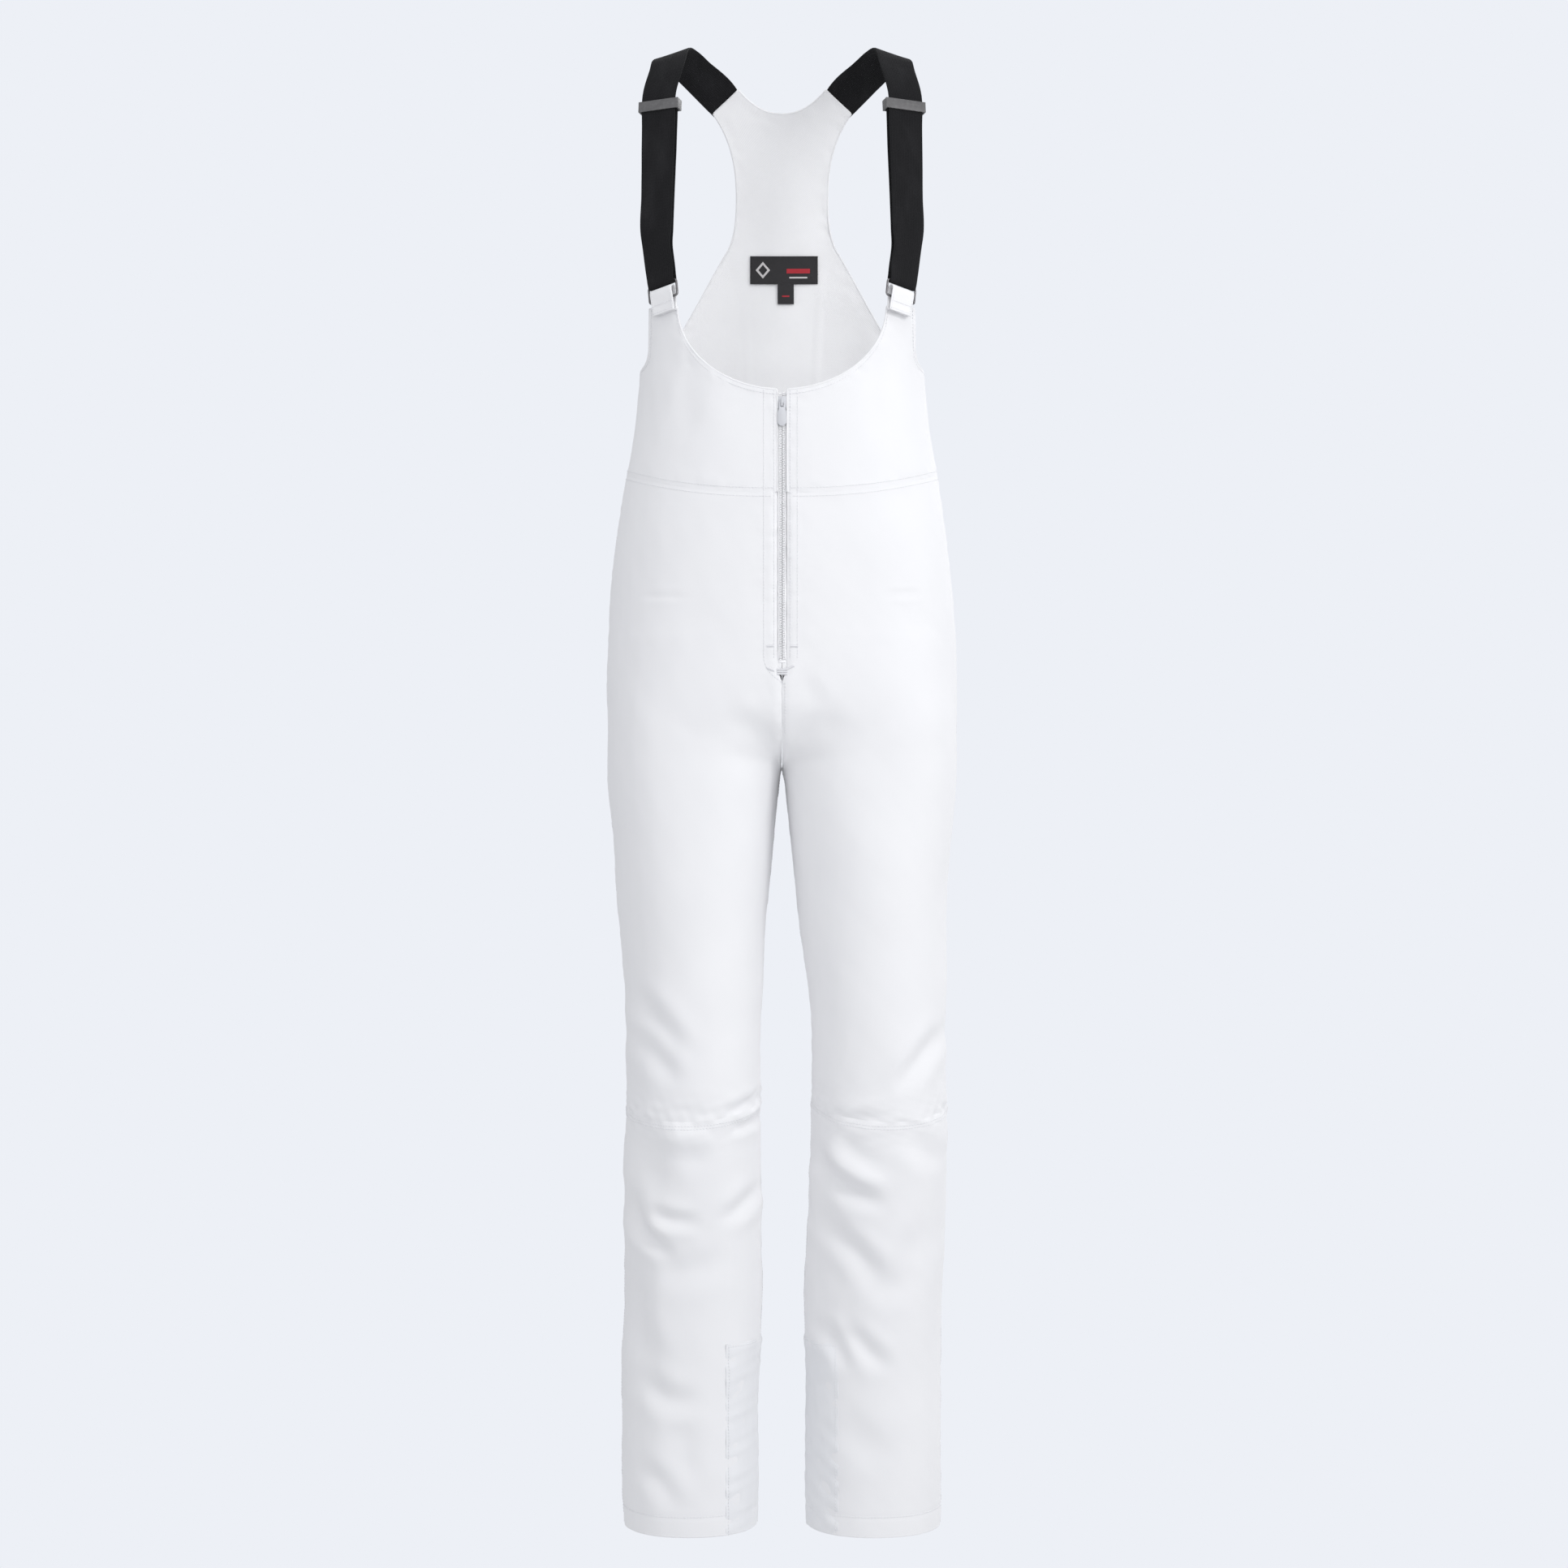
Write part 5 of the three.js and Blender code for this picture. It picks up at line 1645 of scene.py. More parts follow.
@dataclass
class Bib:
    """The two bib fronts and the racer back, with their rolled edges."""

    step: float = 3.3  # distance between points of the cloth
    roll: float = 1.15  # radius of a rolled edge
    pieces: dict[str, Piece] = field(default_factory=dict)

    def flat(self, skin: TorsoSkin, line: Array) -> Array:
        """A line of (x, z) places as evenly spaced cloth coordinates."""
        return spaced(skin.unrolled(line[:, 0], line[:, 1]), LINE_STEP)

    def front_lines(self, waist: Array) -> dict[str, Array]:
        """Cloth coordinates of each stretch of the left bib front's outline, in order."""
        skin = FRONT_SKIN
        waist = spaced(skin.unrolled_points(waist), LINE_STEP) - WAIST_LAP
        scoop_start = math.asin(ZIP_SLOT / SCOOP_HALF_WIDTH)
        turn = np.linspace(scoop_start, math.pi / 2, 90)
        scoop = np.stack(
            [SCOOP_HALF_WIDTH * np.sin(turn), SHOULDER_Z - SCOOP_DEPTH * np.cos(turn)], 1
        )
        top = np.array([[SCOOP_HALF_WIDTH, SHOULDER_Z], [TAB_OUTER_X, SHOULDER_Z]])
        corner = (TAB_OUTER_X + 1, -324)
        arm = np.concatenate(
            [
                np.linspace((TAB_OUTER_X, SHOULDER_Z), corner, 20),
                bezier([corner, (TAB_OUTER_X + 2, ARMHOLE_Z), (150, ARMHOLE_Z)], 90)[1:],
            ]
        )
        slot = level_line(ZIP_SLOT, waist[-1, 1], scoop[0, 1])
        side = level_line(PAST_SIDE_X, ARMHOLE_Z, waist[0, 1])
        lines = {"slot": slot, "scoop": scoop, "top": top, "arm": arm, "side": side}
        return {"waist": waist, **{word: self.flat(skin, line) for word, line in lines.items()}}

    def back_lines(self, waist: Array) -> dict[str, Array]:
        """Cloth coordinates of each stretch of the racer back's outline, in order."""
        skin = BACK_SKIN
        neck = bezier([(0, -55), (18, -55), (32, -48), (47, -33)])
        arm_end = np.linspace((47, -33), (74, -56), 12)
        arm = np.concatenate(
            [
                bezier([(74, -56), (56, -78), (49, -105), (49, -140)]),
                bezier([(49, -140), (49, -160), (50, -178), (58, -196)])[1:],
                bezier([(58, -196), (78, -226), (132, -342), (150, -342)], 140)[1:],
            ]
        )
        half = spaced(skin.unrolled_points(waist), LINE_STEP) - WAIST_LAP
        side = self.flat(skin, level_line(PAST_SIDE_X, ARMHOLE_Z, half[0, 1]))
        flat = [self.flat(skin, line) for line in (neck, arm_end, arm)] + [side]
        words = ("neck", "arm_end", "arm", "side")
        lines = {f"{w}_left": line for w, line in zip(words, flat)}
        lines["waist_left"] = half
        lines["waist_right"] = half[::-1] * MIRROR
        for word, line in zip(words[::-1], flat[::-1]):
            lines[f"{word}_right"] = line[::-1] * MIRROR
        return lines

    def sheet(
        self, name: str, node: str, skin: TorsoSkin, lines: dict[str, Array], sign: int,
        creases: tuple[Crease, ...], room: Workroom,
    ) -> None:
        """Makes one sheet of the bib, riding on the root.

        Args:
            name: of the piece.
            node: that it stands for.
            skin: surface that it lies on.
            lines: stretches of its outline.
            sign: -1 to mirror it to the wearer's right.
            creases: folds drawn on it, as on the left side.
            room: what every piece is made with.
        """
        outline = np.concatenate([line[:-1] for line in lines.values()])

        def place(cloth: Array) -> Array:
            """Places of cloth points, with seams, folds and unevenness."""
            points = skin.place(cloth)
            gap = edge_distance(cloth, outline)
            height = -0.06 * hump(gap, 2.4)
            height = height + 0.15 * hump(gap - 7.0, 3.5)
            height = height + sum(c.lift(points[:, 0], points[:, 2]) for c in creases)
            within = smoothstep(gap, 0, 14)
            height += Ripple(0.6, 48.0, 31 + sign).at(points) * within
            height += Ripple(0.16, 13.0, 37 + sign).at(points) * within
            pucker = Ripple(0.5, 9.0, 41 + sign, 0.8).at(points)
            height += pucker * np.exp(-gap / 9) * smoothstep(gap, 0, 4)
            return skin.place(cloth, -height)

        shape = outline_sheet(outline, self.step, place)
        if sign < 0:
            shape.points[:, 0] *= -1
            shape.faces = [f[::-1] for f in shape.faces]
        piece = room.make(shape, name, "softshell", "lining")
        area = area_of(piece)
        walled(piece, CLOTH, 1)
        placed(piece, "root", "softshell", node)
        size = outline.max(0) - outline.min(0)
        declare(piece, *size, Held.HUNG, max(area, 0.301e-6 * size[0] * size[1]))
        self.pieces[name] = piece

    def rolled(self, name: str, skin: TorsoSkin, line: Array, sign: int, room: Workroom) -> None:
        """A rolled edge along a stretch of outline."""
        points = skin.place(spaced(line, 2.4), 0.75)
        points[:, 0] *= sign
        placed(room.make(tube(points, self.roll), name, "softshell"), "root", "softshell")

    def build(self, trousers: Trousers, room: Workroom) -> None:
        """Makes the bib above the trousers' waist seam."""
        waist = trousers.panels["front_upper_left"].grid[0]
        lines = self.front_lines(waist)
        folds = (
            Crease(((119, -296), (121, -340), (128, -392)), 8, -1.7),
            Crease(((133, -300), (137, -345), (141, -400)), 7, -1.4),
            Crease(((104, -330), (98, -372), (100, -420)), 12, -1.2),
        )
        front_edge = np.concatenate([lines["slot"][:-1], lines["scoop"][:-1], lines["top"]])
        for hand in Hand:
            word, sign = hand.word, hand.value
            name, node = f"bib_panel_{word}", f"bib_front_{word}"
            self.sheet(name, node, FRONT_SKIN, lines, sign, folds, room)
            self.rolled(f"neckline_roll_{word}", FRONT_SKIN, front_edge, sign, room)
            self.rolled(f"armhole_roll_{word}", FRONT_SKIN, lines["arm"], sign, room)
        lines = self.back_lines(trousers.panels["back_upper_left"].grid[0])
        princess = tuple(
            Crease(tuple((s * x, z) for x, z in PRINCESS_LINE), 2.8, -0.4) for s in (-1, 1)
        )
        dip = (Crease(((-30, -120), (0, -150), (30, -120)), 22, -1.4),)
        self.sheet("racer_back", "bib_back", BACK_SKIN, lines, 1, princess + dip, room)
        neck = np.concatenate([lines["neck_right"][:-1], lines["neck_left"]])
        self.rolled("back_neck_roll", BACK_SKIN, neck, 1, room)
        arm = np.concatenate([lines["arm_end_left"][:-1], lines["arm_left"]])
        for hand in reversed(Hand):
            self.rolled(f"back_arm_roll_{hand.word}", BACK_SKIN, arm, hand.value, room)
        LOG.info("bib: %d pieces", len(self.pieces))


# --- straps


@dataclass(frozen=True)
class Stance:
    """A small frame on the strap: across it, along it upward, and inward out of it."""

    across: Array
    up: Array
    inward: Array

    @staticmethod
    def facing(degrees: float, up: Array, side: int) -> "Stance":
        """The frame of a strap that faces outward by an angle."""
        angle = math.radians(degrees)
        across = np.array([math.cos(angle), side * math.sin(angle), 0.0])
        up = up / np.linalg.norm(up)
        across = across - up * (across @ up)
        across /= np.linalg.norm(across)
        return Stance(across, up, -np.cross(across, up))

    def at(self, middle: Array, across: float, inward: float, up: float) -> Array:
        """A place given in this frame."""
        return middle + across * self.across + inward * self.inward + up * self.up


@dataclass
class StrapSet:
    """One shoulder strap with its return, ring, adjuster and tab."""

    hand: Hand  # the wearer's side
    width: float = 38.0  # of the elastic
    ring_width: float = 33.0  # of the elastic where it goes round the ring
    thick: float = 1.6  # of the elastic
    wire: float = 2.4  # thickness of the ring's wire
    layer_pitch: float = 5.0  # between the two layers
    ring_size: tuple[float, float] = (38.5, 19.0)  # outside width and height of the ring

    def __post_init__(self) -> None:
        """Works out the places that the pieces share."""
        side = self.side = self.hand.value
        self.top = np.array([side * 125.5, -44.7, -58.0])
        self.low = np.array([side * 128.1, -75.2, -205.0])
        self.bow = np.array([side * 0.9, 0.0, 0.0])
        self.ring = np.array([side * 122.0, -87.0, -260.5])
        self.straight = Stance.facing(22, self.top - self.low, side)
        self.at_ring = Stance.facing(37, np.array([side * 0.1, 0.2, 1.0]), side)

    def eased_width(self, share: float) -> float:
        """Width of the elastic, which the load narrows towards the ring."""
        return 34.5 + (self.width - 34.5) * float(smoothstep(np.array(share), 0, 1))

    def run_up(self, depth: float, start: Array, end: Array) -> list[tuple]:
        """Rows from above the ring to the top of the straight part.

        Args:
            depth: how far inward the layer lies.
            start: where the elastic leaves the ring.
            end: top of the straight part.

        Returns:
            Place, across and width, one row a knot.
        """
        low = self.straight.at(self.low, 0, depth, 0)
        turned = unit(2 * self.at_ring.across + self.straight.across)
        rows = [(start + 0.45 * (low - start) + self.bow, turned, self.ring_width + 1)]
        for share in np.linspace(0, 1, 5):
            width = self.eased_width(share)
            rows.append((low + share * (end - low), self.straight.across, width))
        return rows

    def outer_path(self) -> list[tuple]:
        """Rows of place, across and width, from the ring up the front and over to the back."""
        bend = self.layer_pitch / 2
        ring, straight, at_ring = self.ring, self.straight, self.at_ring
        rows = [(at_ring.at(ring, 0, bend, 7), at_ring.across, self.ring_width)]
        for turn in np.linspace(0, math.pi, 7):
            place = at_ring.at(ring, 0, bend * math.cos(turn), -bend * math.sin(turn))
            rows.append((place, at_ring.across, self.ring_width))
        rows.append((at_ring.at(ring, 0, -bend, 12), at_ring.across, self.ring_width + 2))
        top = straight.at(self.top, 0, -bend, 0)
        rows += self.run_up(-bend, at_ring.at(ring, 0, -bend, 30), top)
        tilt = math.radians(18.8)
        slope = np.array([math.cos(tilt), 0.0, -self.side * math.sin(tilt)])
        arch = 42  # radius of the shoulder
        for degrees, x in ((-62, 119.5), (-40, 117), (-20, 115), (0, 112.6), (22, 104), (44, 92)):
            turn = math.radians(degrees)
            place = (self.side * x, arch * math.sin(turn), -7 - arch * (1 - math.cos(turn)))
            settle = float(smoothstep(np.array(degrees), -75, -30))
            across = unit(straight.across * (1 - settle) + slope * settle)
            rows.append((place, across, self.width))
        rows.append(((self.side * 62.5, 53.5, -43.5), slope, self.width))
        sewn = BACK_SKIN.place(BACK_SKIN.unrolled(np.array([54.0]), np.array([-53.5])), -1.5)[0]
        rows.append((sewn * np.array([self.side, 1, 1]), slope, self.width - 5))
        return rows

    def return_path(self) -> list[tuple]:
        """The same for the layer between the ring and the adjuster."""
        bend = self.layer_pitch / 2
        start = self.at_ring.at(self.ring, 0, bend, 7.3)
        up, across = self.at_ring.up, self.at_ring.across
        end = self.straight.at(self.low + 0.91 * (self.top - self.low), 0, bend, -5.8)
        rows = [(start, across, self.ring_width), (start + 4 * up, across, self.ring_width)]
        return rows + self.run_up(bend, start + 22 * up, end)

    def webbing(self, name: str, rows: list[tuple], room: Workroom) -> tuple[Piece, Array]:
        """Makes a strip of elastic along knots.

        Args:
            name: of the piece.
            rows: place, across and width at each knot.
            room: what every piece is made with.

        Returns:
            The piece, and the path that it follows: place, across and out.
        """
        knots = np.array([[*place, *across, width] for place, across, width in rows])
        path = smooth_path(knots, 2.4)
        middle = path[:, :3]
        ahead = unit(np.gradient(middle, axis=0))
        across = path[:, 3:6] - ahead * np.sum(path[:, 3:6] * ahead, 1, keepdims=True)
        across = unit(across)
        out = np.cross(ahead, across)
        along = distances_along(middle)
        edge = Ripple(0.14, 9.0, 5 + self.side).at(middle)
        base = strip_section(self.width, self.thick)
        section = np.repeat(base[None], len(path), 0)
        section[..., 0] *= (path[:, 6] + edge)[:, None] / self.width
        section[..., 1] += 0.35 * np.sin(along / 47.0)[:, None] * (base[:, 0] / 19) ** 2
        shape = swept(middle, across, out, section)
        shape.cloth = strip_cloth(base, along)
        piece = room.make(shape, name, "webbing")
        declare(piece, self.width, along[-1], Held.STRETCHED)
        return piece, np.concatenate([middle, across, out], 1)

    def build(self, room: Workroom) -> None:
        """Makes every piece of the strap."""
        word = self.hand.word
        outer, path = self.webbing(f"strap_webbing_{word}", self.outer_path(), room)
        placed(outer, "root", "elastic", f"shoulder_strap_{word}")
        back, _ = self.webbing(f"strap_back_layer_{word}", self.return_path(), room)
        placed(back, "root", "elastic", f"strap_return_{word}")
        anchor = self.at_ring.at(self.ring, 0, 2.5, 7.3) * MM
        slide, axis = f"adjuster_slide_{word}", tuple(self.straight.up)
        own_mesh(back)
        tuple(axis)
        self.wire_ring(room)
        self.fabric_tab(room)
        node, name = f"strap_adjuster_{word}", f"adjuster_frame_{word}"
        adjuster = softened(node, name, 0.45, room.finishes.get("adjuster"))
        placed(adjuster, f"adjuster_{word}", "grey_metal")
        self.box_stitch(path, room)
        LOG.info("strap %s", word)

    def wire_ring(self, room: Workroom) -> None:
        """Makes the rectangular wire ring."""
        half = (self.ring_size[0] - self.wire) / 2
        drop = self.ring_size[1] - self.wire
        bend = 2.2
        corners = ((half, 0), (-half, 0), (-half, -drop), (half, -drop))
        path = []
        for i, (cx, cz) in enumerate(corners):
            sx, sz = (1 if cx > 0 else -1), (1 if cz == 0 else -1)
            ox, oz = cx - sx * bend, cz - sz * bend
            start = math.atan2(sz, sx) - math.pi / 4
            for turn in np.linspace(start, start + math.pi / 2, 7):
                path.append((ox + bend * math.cos(turn), oz + bend * math.sin(turn)))
        flat = np.array(path)
        flat = spaced(np.concatenate([flat, flat[:1]]), 1.3)[:-1]
        points = np.array([self.at_ring.at(self.ring, x, 0, z) for x, z in flat])
        word, shape = self.hand.word, tube(points, self.wire / 2, 14, closed=True)
        piece = room.make(shape, f"wire_ring_{word}", "ring")
        placed(piece, f"ring_{word}", "dark_metal", f"strap_ring_{word}")

    def fabric_tab(self, room: Workroom) -> None:
        """Makes the folded tab round the ring's lower bar, sewn over the bib's edge."""
        word = self.hand.word
        base, depth, width, thick = -19.9, 3.6, 28.0, 1.5
        top = base + 14.8
        outline = [(-2.2, base - 12.0), (-2.3, base - 5.0), (-depth + 0.2, base + 4)]
        for turn in np.linspace(math.pi, 0, 11):
            outline.append((depth * 1.08 * math.cos(turn), top - depth + depth * math.sin(turn)))
        outline += [(depth - 0.2, base + 4), (2.5, base - 5.0), (2.4, base - 11.0)]
        line = smooth_path(np.array([(0.0, a, b) for a, b in outline]), 1.2)[:, 1:]
        middle = np.array([self.at_ring.at(self.ring, 0, a, b) for a, b in line])
        ahead = unit(np.gradient(middle, axis=0))
        across = np.broadcast_to(self.at_ring.across, middle.shape)
        section = strip_section(width, thick, 14)
        shape = swept(middle, across, np.cross(ahead, across), section)
        along = distances_along(middle)
        shape.points += Ripple(0.18, 7.0, 61 + self.side).at(shape.points)[:, None] * 0.6
        shape.cloth = strip_cloth(section, along)
        piece = room.make(shape, f"folded_tab_{word}", "softshell")
        placed(piece, "root", "softshell", f"strap_tab_{word}")
        declare(piece, width, along[-1], Held.FOLDED)
        reach = 12  # from the tab's middle to its side seams
        rows = [
            [(a, out_by, level) for a in np.linspace(-reach, reach, 9)]
            for level, out_by in ((-2.0, -3.7), (-9.5, -3.15))
        ]
        for edge in (-reach, reach):
            levels = ((-9.5, -3.15), (-5, -3.2), (0, -3.9), (4, -4.35), (9, -4.6))
            rows.append([(edge, out_by, level) for level, out_by in levels])
        lines = [
            np.array([self.at_ring.at(self.ring, a, b, base + level) for a, b, level in row])
            for row in rows
        ]
        stitches = room.sew(f"tab_stitches_{word}", lines, "thread", Bars(2.6, 2.1, 0.6, 0.6))
        placed(stitches, "root", "softshell")

    def box_stitch(self, path: Array, room: Workroom) -> None:
        """Sews the strap's end to the arm of the back with a crossed box."""
        middle, across, out = path[-1, :3], path[-1, 3:6], path[-1, 6:]
        ahead = unit(path[-1, :3] - path[-5, :3])
        if out[1] < 0:
            out = -out

        def spot(a: float, b: float) -> Array:
            """A place on the strap's outside."""
            return middle + a * across + b * ahead + 1.0 * out

        near, far, half = -1.5, -10.5, 15
        box = [(-half, near), (half, near), (half, far), (-half, far), (-half, near)]
        corners = [*box, (half, far)]
        pairs = [*zip(corners, corners[1:]), ((-half, far), (half, near))]
        lines = [np.array([spot(*a), spot(*b)]) for a, b in pairs]
        name, bars = f"strap_box_stitch_{self.hand.word}", Bars(2.4, 1.9, 0.55, 0.5)
        placed(room.sew(name, lines, "dark_thread", bars), "root", "elastic")


# --- zip


@dataclass
class Zip:
    """Front zip: tapes, coil, stop, guard, slider and puller."""

    tape_near: float = 3.0  # depth of the tape behind the outside of the cloth
    pitch: float = 1.75  # between two teeth of one side
    guard_depth: float = 8.3  # depth of the flap behind the zip
    tape_width: float = 17.0  # of one tape
    guard_width: float = 38.0  # of the flap
    run_on: float = 12.0  # how far tapes and flap run on below the zip

    def front(self, z: Array, depth: float) -> Array:
        """Y of a depth behind the straight front at each level."""
        return -(112 - 0.033 * (-340 - z)) + depth

    def strip(
        self, low: float, high: float, top: float, bottom: float, depth: float, step: float
    ) -> Array:
        """A grid that follows the straight front."""
        z = np.linspace(top, bottom, max(2, int((top - bottom) / step)))
        x = np.linspace(low, high, max(3, int((high - low) / 1.6)))
        grid = np.empty((len(z), len(x), 3))
        grid[..., 0] = x
        grid[..., 1] = self.front(z, depth)[:, None]
        grid[..., 2] = z[:, None]
        return grid

    def build(self, room: Workroom) -> None:
        """Makes every piece of the zip."""
        top, bottom = ZIP_TOP_Z, ZIP_BOTTOM_Z
        for hand in Hand:
            side, word = hand.value, hand.word
            low, high = sorted((side * 0.2, side * self.tape_width))
            grid = self.strip(low, high, top, bottom - self.run_on, self.tape_near, 4.0)
            grid += INWARD * Ripple(0.12, 12.0, 71).at(grid)[..., None]
            outward = np.broadcast_to(-INWARD, grid.shape)
            tape = room.make(grid_shape(grid, outward), f"tape_{word}", "tape")
            walled(tape, 0.6)
            placed(tape, "root", "zip_tape", f"zip_tape_{word}")
            declare(tape, self.tape_width, top - bottom + self.run_on, Held.STRETCHED)
            z = np.array([top - 0.5, bottom + 4.0]) - (0.0 if side > 0 else self.pitch / 2)
            line = np.stack([np.full(2, side * 1.45), self.front(z, 2.0), z], 1)
            coil = room.sew(f"coil_{word}", [line], "coil", Bars(self.pitch, 1.6, 3.4, 2.0))
            placed(coil, "root", "zip_plastic", f"zip_coil_{word}")
            z = np.linspace(top, bottom + 3.5, 60)
            line = np.stack([np.full(60, side * 3.1), self.front(z, 2.2), z], 1)
            cord = room.make(tube(line, 0.65), f"coil_edge_{word}", "coil")
            placed(cord, "root", "zip_plastic")
        half, top = self.guard_width / 2, top - 2
        guard = self.strip(-half, half, top, bottom - self.run_on, self.guard_depth, 6.0)
        hollow = Ripple(0.5, 30.0, 73).at(guard) + 0.004 * guard[..., 0] ** 2
        guard += INWARD * hollow[..., None]
        outward = np.broadcast_to(-INWARD, guard.shape)
        flap = room.make(grid_shape(guard, outward), "zip_flap", "lining")
        walled(flap, 1.2)
        placed(flap, "root", "lining", "zip_guard")
        declare(flap, self.guard_width, top - bottom + self.run_on, Held.HUNG)
        for node, name, width, finish, body, slot in (
            ("zip_stop", "zip_end_stop", 0.5, "coil", "root", "zip_plastic"),
            ("zip_slider", "slider_body", 0.42, "slider", "slider", "zip_slider"),
            ("zip_puller", "slider_puller", 0.38, "slider", "puller", "zip_slider"),
        ):
            placed(softened(node, name, width, room.finishes.get(finish)), body, slot)
        LOG.info("zip: %.0f mm", ZIP_TOP_Z - bottom)


# --- hems


@dataclass
class HemSet:
    """The foot of one leg: facing, rolled edge, scuff guard, gaiter and its elastic."""

    hand: Hand  # the wearer's side
    trousers: Trousers  # the legs that it is sewn to

    def panels(self) -> list[Panel]:
        """The front and the back of the lower leg."""
        return [self.trousers.panels[f"{face.word}_lower_{self.hand.word}"] for face in Face]

    def ring_of(self, field_name: str, rows: Array) -> Array:
        """Rows right round the leg, of its points or its normals."""
        a, b = (getattr(panel, field_name) for panel in self.panels())
        columns = np.arange(a.shape[1], dtype=float)
        picked = []
        for row in rows:
            front, back = sampled(a, row, columns), sampled(b, row, columns)
            picked.append(np.concatenate([front, back[-2:0:-1]]))
        return np.array(picked)

    def row_at(self, level: float) -> float:
        """Row number of a level on the lower panels."""
        z = self.panels()[0].grid[:, :, 2].mean(1)
        return float(np.interp(-level, -z, np.arange(len(z))))

    def sleeve(
        self, top: float, bottom: float, rows: int,
        inset: Callable[[Array, Array], Array], calm: float,
    ) -> tuple[Array, Array]:
        """A sleeve inside the leg.

        Args:
            top: its upper level.
            bottom: its lower level.
            rows: number of rows.
            inset: distance inside the cloth, from the share down the sleeve and the turn round it.
            calm: how far the leg's own folds are smoothed out of it, in points.

        Returns:
            The grid and its outward directions.
        """
        share = np.linspace(0, 1, rows)
        at = np.array([self.row_at(top + (bottom - top) * s) for s in share])
        points, normals = self.ring_of("grid", at), unit(self.ring_of("normals", at))
        if calm:
            reach = int(3 * calm)
            bell = np.exp(-0.5 * (np.arange(-reach, reach + 1) / calm) ** 2)
            bell /= bell.sum()
            for values in (points, normals):
                wide = np.concatenate([values[:, -reach:], values, values[:, :reach]], 1)
                for c in range(3):
                    for r in range(rows):
                        values[r, :, c] = np.convolve(wide[r, :, c], bell, "valid")
        normals = unit(normals * np.array([1, 1, 0]))
        turn = np.linspace(0, 2 * math.pi, points.shape[1], endpoint=False)
        depth = inset(share[:, None], turn[None])
        return points - normals * depth[..., None], normals

    def finish(self, piece: Piece, slot: str, *nodes: str) -> None:
        """Makes a piece move with the shin and stand for its nodes."""
        word = self.hand.word
        placed(piece, f"shin_{word}", slot, *(f"{node}_{word}" for node in nodes))

    def build(self, room: Workroom) -> None:
        """Makes every piece of the hem."""
        word = self.hand.word

        def inset(share: Array, turn: Array) -> Array:
            """The facing waves a little at its upper edge."""
            return 2.0 + 0.5 * np.sin(9 * turn) * (1 - share)

        grid, normals = self.sleeve(HEM_Z + TURN_UP, HEM_Z + 0.6, 12, inset, 0)
        facing = room.make(grid_shape(grid, normals, around=True), f"turned_hem_{word}", "lining")
        walled(facing, 1.0)
        self.finish(facing, "lining", "hem_facing")
        declare(facing, self.girth(grid), TURN_UP, Held.FOLDED)
        foot = np.array([len(self.panels()[0].grid) - 1.4])
        edge = self.ring_of("grid", foot)[0] - 1.35 * unit(self.ring_of("normals", foot)[0])
        roll = room.make(tube(edge[::2], 1.55, 8, closed=True), f"hem_roll_{word}", "softshell")
        self.finish(roll, "softshell")
        self.scuff_guard(room)
        self.gaiter(room)
        LOG.info("hem %s", word)

    def girth(self, grid: Array) -> float:
        """Longest way round a sleeve."""
        closed = np.concatenate([grid, grid[:, :1]], 1)
        return float(spans(closed, 1).sum(1).max())

    def scuff_guard(self, room: Workroom) -> None:
        """Makes the tough patch on the inside of the hem, with its stitched edge."""
        word, side = self.hand.word, self.hand.value
        panels = self.panels()
        height, wrap, count = 197.5, -58.0, 17  # wrap: how far round the leg it reaches
        rows = np.linspace(self.row_at(HEM_Z + height), len(panels[0].grid) - 1.3, 84)
        halves, ways = [], []
        for panel in panels:
            points, normals = [], []
            columns = np.arange(panel.grid.shape[1], dtype=float)
            for row in rows:
                across = side * sampled(panel.grid, row, columns)[:, 0]
                first = float(np.interp(wrap, -across, columns))
                picked = np.linspace(first, columns[-1], count)
                points.append(sampled(panel.grid, row, picked))
                normals.append(unit(sampled(panel.normals, row, picked)))
            halves.append(np.array(points))
            ways.append(np.array(normals))
        grid = np.concatenate([halves[0], halves[1][:, -2::-1]], 1)
        normal = np.concatenate([ways[0], ways[1][:, -2::-1]], 1)
        u = np.linspace(0, 1, grid.shape[1])
        v = np.linspace(0, 1, len(rows))
        rim = np.minimum(np.minimum(u, 1 - u)[None] * 120, np.minimum(v * 197, 1e3)[:, None])
        lift = 0.45 * smoothstep(rim, 0, 5) + 0.12 * hump(rim - 5.5, 2.2)
        lift = lift + 0.9 * hump(u - 0.5, 0.02)[None]
        lift = lift + Ripple(0.7, 11.0, 83 + side, 0.8).at(grid) * (0.35 + np.exp(-rim / 14))
        grid = grid + normal * (lift + 0.12)[..., None]
        guard = room.make(grid_shape(grid, normal), f"hem_guard_{word}", "guard")
        area = area_of(guard)
        walled(guard, 0.9)
        self.finish(guard, "reinforcement", "scuff_guard")
        declare(guard, extents(grid)[0], 200.0, Held.HUNG, area)

        def seam(row: Array | float, column: Array | float) -> Array:
            """A line just outside the patch."""
            return sampled(grid, row, column) + 0.25 * sampled(normal, row, column)

        inset, top_row = 2.6 / 120 * grid.shape[1], 1.2
        down = np.arange(top_row, len(rows) - 0.5, 1.0)
        lines = [seam(down, c) for c in (inset, grid.shape[1] - 1 - inset)]
        lines.append(seam(top_row, np.arange(inset, grid.shape[1] - inset, 1.0)))
        self.finish(room.sew(f"guard_stitches_{word}", lines), "reinforcement")

    def gaiter(self, room: Workroom) -> None:
        """Makes the boot gaiter, gathered onto its elastic."""
        word = self.hand.word
        bottom = HEM_Z + 38
        top = bottom + 114

